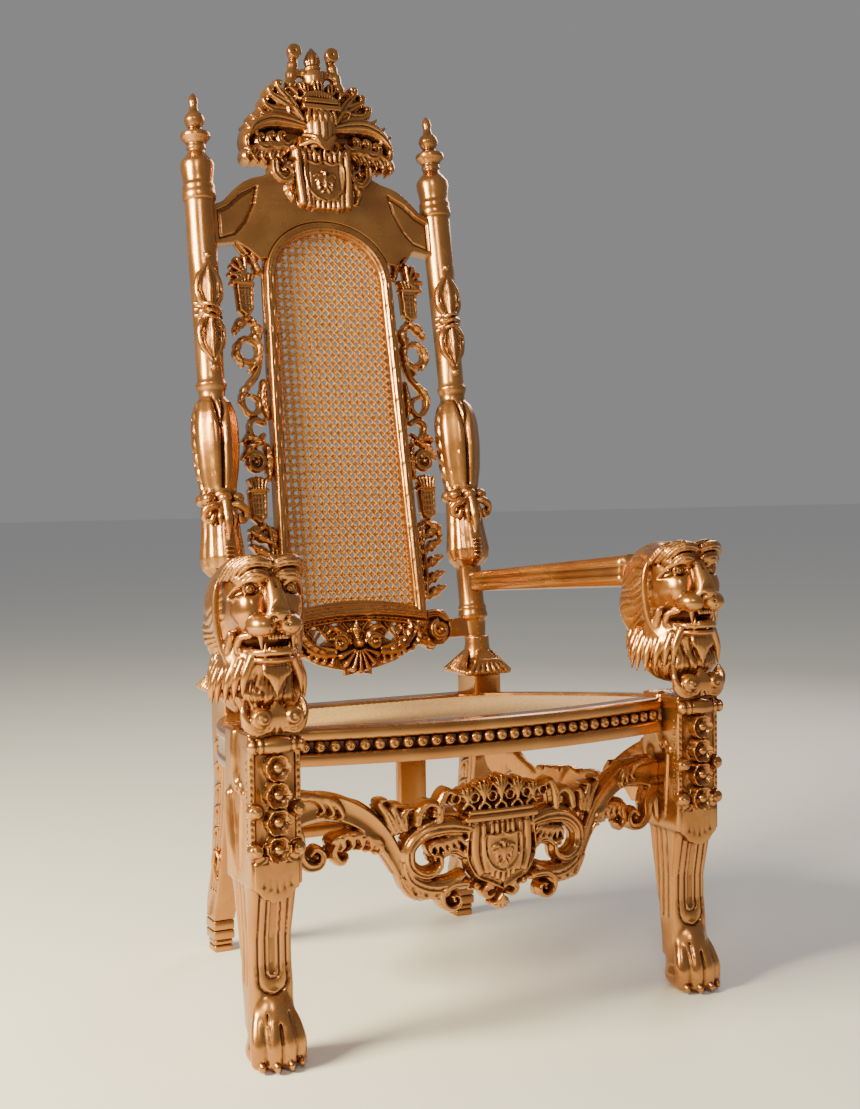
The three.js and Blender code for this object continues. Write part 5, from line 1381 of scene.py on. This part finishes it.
def apron_relief():
    r = Relief((-361.5, 198), (361.5, 438), 1.5)
    half = [(0, 205), (24, 232), (50, 240), (66, 218), (88, 209), (102, 218), (118, 240), (134, 224),
            (150, 229), (186, 277), (214, 305), (244, 323), (268, 300), (284, 307), (274, 333), (248, 343),
            (190, 306), (214, 347), (250, 356), (280, 345), (290, 306), (304, 293), (322, 293), (338, 306),
            (344, 336), (360, 350), (360, 428), (300, 419), (244, 405), (214, 393), (202, 406), (156, 374),
            (144, 394), (118, 381), (112, 406), (94, 418), (80, 411), (40, 424), (0, 431)]
    r.field(half, 12, ground=True)
    for hole in ([(176, 342), (180, 322), (167, 288), (162, 304)],
                 [(74, 300), (90, 296), (98, 280), (80, 276)],
                 [(128, 318), (140, 326), (146, 306), (134, 300)]):
        r.hole(hole)
    # Smooth hollow ribbon to the leg, ending in a volute
    r.stroke([(360, 388), (322, 396), (280, 394), (242, 377), (212, 350), (188, 312), (168, 270), (153, 238)],
             [54, 50, 46, 40, 34, 28, 22, 10], [15, 15, 15, 15, 14, 13, 11, 7], 14, "dish")
    r.stroke([(356, 366), (340, 340), (338, 314), (322, 298), (304, 300), (299, 318), (311, 327), (320, 318)],
             [38, 28, 19, 17, 15, 13, 10, 7], 15, 14, "dish", count=60)
    r.dot(311, 315, 5, 15, 14)
    for k in range(3):
        r.stroke([(352 - 16 * k, 416 - 2 * k), (326 - 14 * k, 418 - 3 * k), (304 - 14 * k, 404 - 4 * k),
                  (300 - 14 * k, 390 - 5 * k), (308 - 14 * k, 386 - 5 * k)], [8, 13, 14, 11, 5], 9, 24,
                 "vein", count=30)
    # Toothed leaf inside the ribbon's arch
    for k in range(5):
        x, z = 276 - 15 * k, 330 + 3.5 * k - 1.2 * k * k
        r.stroke([(x + 10, z + 8), (x, z + 14), (x - 8, z + 2), (x - 2, z - 8)], [10, 15, 13, 5], 13, 15,
                 "vein")
    r.stroke([(284, 342), (258, 349), (226, 342), (200, 314)], [10, 16, 18, 8], 14, 14, "vein")
    r.stroke([(278, 336), (283, 318), (270, 303), (262, 312)], [14, 17, 14, 7], 14, 14, "vein")
    # Leaf with three tips between the ribbon and the crown
    for k in range(3):
        r.stroke([(186 - 8 * k, 350 + 2 * k), (196 - 12 * k, 376), (210 - 22 * k, 402 - 8 * k),
                  (200 - 22 * k, 404 - 8 * k)], [14, 20, 14, 6], 13, 16, "vein")
    r.stroke([(150, 362), (144, 384), (128, 394), (114, 386), (114, 374), (124, 372)],
             [16, 18, 16, 13, 10, 6], 14, 18, "vein", count=40)
    r.stroke([(112, 366), (110, 392), (96, 412), (84, 404)], [16, 20, 16, 6], 14, 18, "vein")
    r.dot(122, 380, 4.5, 16, 16)
    # Large leaf out of the shield, hooking down and in
    r.stroke([(60, 346), (100, 352), (140, 344), (164, 318), (160, 288), (134, 274), (112, 286), (112, 304),
              (126, 308)], [20, 30, 32, 28, 26, 24, 19, 13, 7], 17, 15, "vein", count=60)
    r.dot(121, 300, 5, 16, 14)
    for k in range(4):
        r.stroke([(66 + 12 * k, 320 - 2 * k), (78 + 12 * k, 333 - 2 * k), (92 + 12 * k, 328 - 3 * k),
                  (90 + 12 * k, 316 - 3 * k)], [9, 14, 13, 5], 12, 15, "vein", count=20)
    r.stroke([(66, 300), (84, 312), (104, 306), (110, 292)], [12, 18, 16, 6], 12, 14, "vein")
    # Lower leaf sweeping in from the ribbon to the bottom volute
    r.stroke([(172, 296), (160, 268), (132, 252), (98, 252), (70, 270)], [14, 26, 30, 28, 10], 15, 14, "vein")
    for k in range(4):
        r.stroke([(176 - 17 * k, 272 - 9 * k + 1.5 * k * k), (166 - 17 * k, 256 - 7 * k + 1.5 * k * k),
                  (154 - 17 * k, 240 - 4 * k + k * k), (146 - 17 * k, 244 - 4 * k + k * k)], [12, 18, 13, 5],
                 13, 14, "vein", count=20)
    r.stroke([(66, 254), (92, 252), (108, 240), (106, 222), (90, 214), (77, 224), (82, 236), (92, 234)],
             [18, 18, 16, 14, 13, 11, 9, 6], 17, 14, "vein", count=50)
    r.dot(88, 228, 5, 17, 14)
    # Shield with reeds and a small shield with a bird
    r.field([(0, 240), (18, 250), (46, 262), (61, 282), (61, 360), (0, 360)], 26, 3)
    r.stroke([(61, 357), (61, 284), (47, 264), (20, 251), (0, 240)], 5, 5, 26)
    for x, w in ((49, 14), (35, 10)):
        r.stroke([(x, 350), (x, 294), (x * 0.86, 272)], w, 6, 26)
    for x in (0, 10, 20):
        r.stroke([(x, 352), (x, 338)], 8, 6, 26, count=6)
        r.stroke([(x, 274 + x * 0.4), (x, 254 + x * 0.5)], 8, 6, 26, count=6)
    small = [(0, 268), (20, 278), (29, 290), (29, 334), (14, 331), (0, 335)]
    r.field(small, 31, 2, True)
    r.stroke(small, 3.6, 4, 30, count=30)
    bird(r, 0, 303, 46, 31, 5.5)
    r.stroke([(0, 362), (66, 362)], 12, 6, 28, "flat", count=8)
    r.stroke([(0, 373), (60, 373)], 9, 5, 26, count=8)
    # Crown of shells with round holes between them
    for x, top in ((0, 431), (36, 425), (70, 414)):
        palmette(r, x * 0.9, 386, top, 16, 15, 14)
        r.stroke([(x * 0.86 - 10, 380), (x * 0.88, 388), (x * 0.86 + 10, 380)], 8, 12, 16, count=12)
    for x in (17, 50, 84):
        r.stroke(ring(x, 398, 8, 8), 6, 13, 15, count=24)
        r.hole(ring(x, 398, 4.4, 4.4))
    # Leaf tip with two eyes
    palmette(r, 0, 232, 206, 16, 14, 15)
    r.stroke([(4, 250), (22, 244), (32, 236), (24, 226), (12, 230)], [12, 14, 12, 9, 6], 14, 14, "dish",
             count=24)
    r.dot(46, 247, 8, 12, 14)
    r.pierce(3)
    return r


def apron_face(x):
    return -24 + 60 * np.minimum(1, (x / 300)**2)


def apron():
    points, tris, quads, hollow = apron_relief().clay(0, True).mesh()
    points[:, 1] += apron_face(points[:, 0]) + 26
    points[:, 0] = np.clip(points[:, 0], -360.2, 360.2)
    make("apron", points, tris, quads, LACQUER, hollow, nodes=["stretcher_front"])


def stretcher_line(y):
    """Half width over the side stretchers, which run in towards the back."""
    return 408.5 - 135 * (y - RAIL_START) / 440


def side_stretchers():
    r = Relief((84, 246), (532, 464), 1.6)
    r.field([(88, 458), (110, 450), (112, 436), (128, 426), (132, 412), (180, 396), (216, 360), (230, 368),
             (250, 368), (270, 360), (290, 370), (310, 356), (330, 364), (350, 352), (372, 346), (400, 362),
             (444, 388), (530, 418), (530, 384), (504, 372), (492, 340), (470, 322), (446, 336), (430, 350),
             (370, 296), (340, 268), (300, 252), (262, 262), (226, 296), (176, 344), (156, 344), (140, 322),
             (116, 324), (100, 350), (88, 372)], 15)
    r.stroke([(88, 424), (130, 404), (176, 372), (218, 330), (262, 288), (300, 268)],
             [54, 46, 38, 32, 28, 22], 8, 15, "dish")
    r.stroke([(530, 400), (490, 392), (440, 366), (400, 330), (350, 288), (300, 268)],
             [34, 40, 36, 32, 28, 22], 8, 15, "dish")
    r.stroke([(88, 392), (108, 356), (122, 334), (142, 334), (144, 350)], [30, 26, 18, 14, 8], 8, 15, "dish")
    r.stroke([(500, 380), (488, 342), (468, 332), (454, 344), (462, 354)], [28, 22, 16, 12, 8], 8, 15, "dish")
    r.dot(131, 345, 5, 8, 15)
    r.dot(463, 345, 5, 8, 15)
    for i in range(-3, 4):
        r.stroke([(300 + 8 * i, 300), (300 + 21 * i, 358 - 2 * abs(i))], [7, 20], 11, 16, count=12)
    r.stroke([(240, 300), (300, 284), (360, 300)], 12, 10, 16)
    acanthus(r, [(240, 312), (210, 350), (192, 392)], [10, 22, 6], 9, 15, 4)
    acanthus(r, [(366, 316), (404, 350), (446, 352)], [10, 22, 8], 9, 15, 4)
    acanthus(r, [(92, 452), (104, 440), (128, 420)], [10, 22, 8], 9, 15, 3)
    acanthus(r, [(262, 264), (300, 256), (338, 270)], [8, 16, 8], 10, 15, 5)
    r.top = np.minimum(r.top, 28)
    points, tris, quads, hollow = r.clay(0).mesh(0.02)
    y = np.clip(points[:, 0], 88.3, None)
    points = np.stack([stretcher_line(y) - 24 - points[:, 1], y, points[:, 2]], 1)
    rear = np.interp(points[:, 2], [250, 343, 440, 534], [550, 527, 512, 512]) - 0.5
    points[:, 1] = np.minimum(points[:, 1], rear)
    pair("side_stretcher", points, tris, quads, hollow, "stretcher")


def cross_bar():
    profile = rounded_profile([(303, 284), (347, 284), (347, 308), (303, 308)], 4)
    rings = []
    for s in np.linspace(-1, 1, 40):
        rings.append(np.stack([s * (stretcher_line(profile[:, 0]) - 24.4), profile[:, 0], profile[:, 1]], 1))
    make("cross_bar", *swept(rings), LACQUER, nodes=["stretcher_cross"])
    top = float(seat_top(336)) - 14.3
    profile = rounded_profile([(-28, 314), (28, 314), (28, 336), (-28, 336)], 4)
    rings = [np.stack([profile[:, 0], profile[:, 1], np.full(len(profile), z)], 1)
             for z in np.linspace(308.3, top, 20)]
    make("strut", *swept(rings), LACQUER, nodes=["seat_strut"])


apron()
side_stretchers()
cross_bar()


# Lights, camera and floor

CAMERA_TURN = (26.64153, -2.590961, -0.7244613)
CAMERA_PLACE = (-1.292452, -2.343085 + SHIFT_Y / 1000, 0.923552)
MIDDLE = Vector((0, 0, 0.9))
FOCAL_PIXELS = 1590.8
PHOTO_HEIGHT = 1109
SENSOR = 36


def studio():
    floor = bpy.data.meshes.new("floor")
    floor.from_pydata([(-40, -40, 0), (40, -40, 0), (40, 40, 0), (-40, 40, 0)], [], [(0, 1, 2, 3)])
    ground = bpy.data.objects.new("floor", floor)
    bpy.context.collection.objects.link(ground)
    pale = bpy.data.materials.new("pale_floor")
    pale.use_nodes = True
    shader = pale.node_tree.nodes["Principled BSDF"]
    shader.inputs["Base Color"].default_value = (0.86, 0.86, 0.86, 1)
    shader.inputs["Roughness"].default_value = 0.9
    floor.materials.append(pale)

    world = bpy.data.worlds.new("studio")
    world.use_nodes = True
    sky = world.node_tree.nodes["Background"]
    sky.inputs["Color"].default_value = (0.95, 0.95, 0.96, 1)
    sky.inputs["Strength"].default_value = 0.27
    bpy.context.scene.world = world

    for name, place, size, power, colour in (
            ("key", (-3.4, -0.4, 2.2), 1.5, 520, (1.0, 0.88, 0.52)),
            ("glint", (-1.6, -3.2, 3.0), 0.7, 40, (1.0, 0.86, 0.66)),
            ("back", (2.6, 2.2, 2.8), 1.6, 50, (1.0, 0.90, 0.80))):
        lamp = bpy.data.lights.new(name, "AREA")
        lamp.shape = "DISK"
        lamp.size = size
        lamp.energy = power
        lamp.color = colour
        holder = bpy.data.objects.new(name, lamp)
        holder.location = place
        holder.rotation_euler = (MIDDLE - Vector(place)).to_track_quat("-Z", "Y").to_euler()
        bpy.context.collection.objects.link(holder)

    yaw, pitch, roll = (math.radians(v) for v in CAMERA_TURN)
    ahead = Vector((math.sin(yaw) * math.cos(pitch), math.cos(yaw) * math.cos(pitch), math.sin(pitch)))
    right = Vector((math.cos(yaw), -math.sin(yaw), 0))
    up = right.cross(ahead)
    across = math.cos(roll) * right + math.sin(roll) * up
    upward = math.cos(roll) * up - math.sin(roll) * right
    view = bpy.data.cameras.new("camera")
    view.sensor_width = SENSOR
    view.lens = FOCAL_PIXELS / PHOTO_HEIGHT * SENSOR
    camera = bpy.data.objects.new("camera", view)
    turn = Matrix((across, upward, -ahead)).transposed().to_4x4()
    camera.matrix_world = Matrix.Translation(CAMERA_PLACE) @ turn
    bpy.context.collection.objects.link(camera)
    bpy.context.scene.camera = camera


studio()
